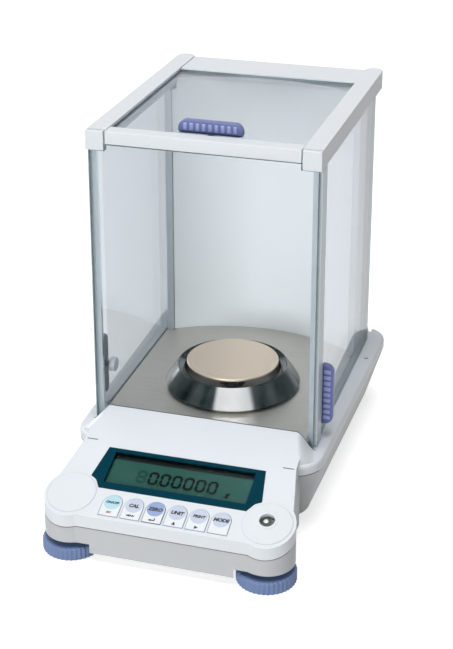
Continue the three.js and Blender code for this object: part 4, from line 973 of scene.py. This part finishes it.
for index, (body, word, tone, mark, small) in enumerate(keyPrints):
    x = (index - (len(keyPrints) - 1) / 2) * keys["pitch"]
    rise = keys["printRise"]
    keyName = body.split("_")[0] + "Key"
    node = "key_%d" % (index + 1)
    cap = fromFrame(node, keyName)
    pickFaces(cap, topFace)
    bpy.ops.mesh.inset(thickness=keys["line"] * mm, depth=0)
    closeEdit()
    faceTones = [0 if face.select else 1 for face in cap.data.polygons]
    dressed(cap, looks["key_white"], keyLineDark if tone == "strong" else keyLine)
    for face, faceTone in zip(cap.data.polygons, faceTones):
        face.material_index = faceTone
    rounded(cap, keys["edge"], keys["edgeSteps"], keys["sharpAngle"])
    seat(cap, body, "key_white", node)

    circle = disc(keyName + "Circle", keys["circleRadius"], keys["circleThickness"])
    onConsole(circle, x, keys["circleUp"], rise)
    seat(dressed(circle, circleInks[tone]), body, "key_white")
    wordHeight = min(keys["wordHeight"], keys["wordSpan"] / len(word))
    wordPrint = lettering("keyWord", word, wordHeight, keys["wordLean"], keys["printThickness"])
    marks = [onConsole(wordPrint, x, keys["wordUp"], rise + keys["wordRise"])]
    if mark:
        marks.append(onConsole(markMakers[mark](), x, keys["markUp"], rise))
    seat(dressed(merged(marks, keyName + "Word"), inkBlack), body, "key_white")
    if small:
        note = lettering(keyName + "Note", small, keys["noteHeight"], keys["noteLean"],
                         keys["printThickness"])
        onConsole(note, x, keys["noteUp"], rise + keys["noteRise"])
        seat(dressed(note, inkBrown if tone == "cyan" else inkBlack), body, "key_white")
print("keys made")

# level: a dome over its fluid, a target circle and the bubble
level = {
    "x": 77.0, "up": 23.0, "radius": 5.7, "rise": 1.6, "sink": -1.25, "tip": 0.25, "domeSteps": 10,
    "round": 64, "smooth": 60,
    "fluid": [(4.6, -1.7), (5.4, -1.75), (5.4, -2.6), (4.6, -2.7)],
    "bubbleX": -1.3, "bubbleUp": 0.8, "bubble": 1.9, "bubbleRise": 0.38, "bubbleZ": -1.68,
    "bubbleTip": 0.1, "bubbleSteps": 6, "bubbleRound": 40,
    "target": [(2.5, 0), (2.5, 0.1), (2.8, 0.1), (2.8, 0)], "targetZ": -1.66, "targetRound": 48,
}


def domeProfile(radius, rise, tip, steps):
    return [(max(tip, radius * math.cos(turn)), rise * math.sin(turn)) for turn in quarterTurns(steps)]


levelPlace = consolePlace @ at(level["x"], level["up"], 0)
domeLine = [(level["radius"], level["sink"])]
domeLine += domeProfile(level["radius"], level["rise"], level["tip"], level["domeSteps"])
dome = smoothed(closedTurning("levelDome", domeLine, level["round"], levelPlace), level["smooth"])
seat(dressed(dome, looks["clear_window"]), "base", "clear_window", "level_lens")
fluid = smoothed(closedTurning("levelFluid", level["fluid"], level["round"], levelPlace))
seat(dressed(fluid, levelFluid), "base", "clear_window")
bubblePlace = levelPlace @ at(level["bubbleX"], level["bubbleUp"], level["bubbleZ"])
bubbleLine = domeProfile(level["bubble"], level["bubbleRise"], level["bubbleTip"], level["bubbleSteps"])
bubble = closedTurning("levelBubble", bubbleLine, level["bubbleRound"], bubblePlace)
seat(dressed(smoothed(bubble, level["smooth"]), bubbleWhite), "base", "clear_window")
targetPlace = levelPlace @ at(0, 0, level["targetZ"])
target = closedRing("levelTarget", level["target"], level["targetRound"], targetPlace)
seat(dressed(target, inkBlack), "base", "clear_window")
print("level made")

# floor, lamps and camera, in metres
studio = {
    "floorSize": 12.0, "floorDrop": 0.0002, "floorColour": 0.7, "floorDrift": 0.99, "floorGrain": 3,
    "floorRoughness": 0.9, "floorGlow": 0.74, "ambient": 0.05, "aim": (0, 0, 0.15),
}
lamps = {
    "topLamp": {"power": 59, "size": 1.6, "place": (0.0, -0.35, 2.9)},
    "frontLamp": {"power": 63, "size": 1.6, "place": (-0.4, -3.0, 0.45)},
    "rearLamp": {"power": 24, "size": 1.2, "place": (-2.3, 1.8, 0.8)},
}
view = {
    "place": (0.32774, panAxisY * mm - 1.11625, 0.67015), "pitch": 69.35, "turn": 16.627, "lens": 84.63,
    "sensor": 36, "shift": -0.1918,
}


def seenRays(tree):
    # 1 for what is seen directly, in a mirror or through glass
    path = makeNode(tree, "LightPath")
    seen = makeNode(tree, "Math", {0: path.outputs["Is Camera Ray"], 1: path.outputs["Is Glossy Ray"]})
    through = {0: seen.outputs[0], 1: path.outputs["Is Transmission Ray"]}
    return makeNode(tree, "Math", through, use_clamp=True).outputs[0]


world = bpy.data.worlds.new("studioWorld")
bpy.context.scene.world = world
world.use_nodes = True
worldTree = world.node_tree
strength = spread(worldTree, seenRays(worldTree), studio["ambient"], 1.0, 0, 1)
worldBackground = worldTree.nodes["Background"]
worldBackground.inputs["Color"].default_value = (1, 1, 1, 1)
link(worldTree, strength, worldBackground.inputs["Strength"])

bpy.ops.object.select_all(action="DESELECT")
bpy.ops.mesh.primitive_plane_add(size=studio["floorSize"], location=(0, 0, -studio["floorDrop"]))
floor = bpy.context.object
floor.name = "studioFloor"
floorFinish, floorTree, floorShader = newFinish("floorPaper")
floorBlotches = spread(floorTree, grain(floorTree, studio["floorGrain"]), 0, 1)
floorTone = studio["floorColour"]
floorShade = blended(floorTree, floorBlotches, (floorTone,) * 3, (floorTone * studio["floorDrift"],) * 3)
link(floorTree, floorShade, floorShader.inputs["Base Color"])
floorShader.inputs["Roughness"].default_value = studio["floorRoughness"]
floorShader.inputs["Specular IOR Level"].default_value = 0.0
floorShader.inputs["Emission Color"].default_value = (1, 1, 1, 1)
floorGlow = spread(floorTree, seenRays(floorTree), 0, studio["floorGlow"], 0, 1)
link(floorTree, floorGlow, floorShader.inputs["Emission Strength"])
floor.data.materials.append(floorFinish)

for name, settings in lamps.items():
    lamp = bpy.data.lights.new(name, "AREA")
    lamp.energy = settings["power"]
    lamp.size = settings["size"]
    lampBody = bpy.data.objects.new(name, lamp)
    bpy.context.scene.collection.objects.link(lampBody)
    lampBody.location = settings["place"]
    aim = Vector(studio["aim"]) - Vector(settings["place"])
    lampBody.rotation_euler = aim.to_track_quat("-Z", "Y").to_euler()

camera = bpy.data.cameras.new("photoCamera")
camera.lens = view["lens"]
camera.sensor_width = view["sensor"]
camera.shift_y = view["shift"]
cameraBody = bpy.data.objects.new("photoCamera", camera)
bpy.context.scene.collection.objects.link(cameraBody)
cameraBody.location = view["place"]
cameraBody.rotation_euler = Euler((math.radians(view["pitch"]), 0, math.radians(view["turn"])))
bpy.context.scene.camera = cameraBody
bpy.context.scene.view_settings.view_transform = "Standard"
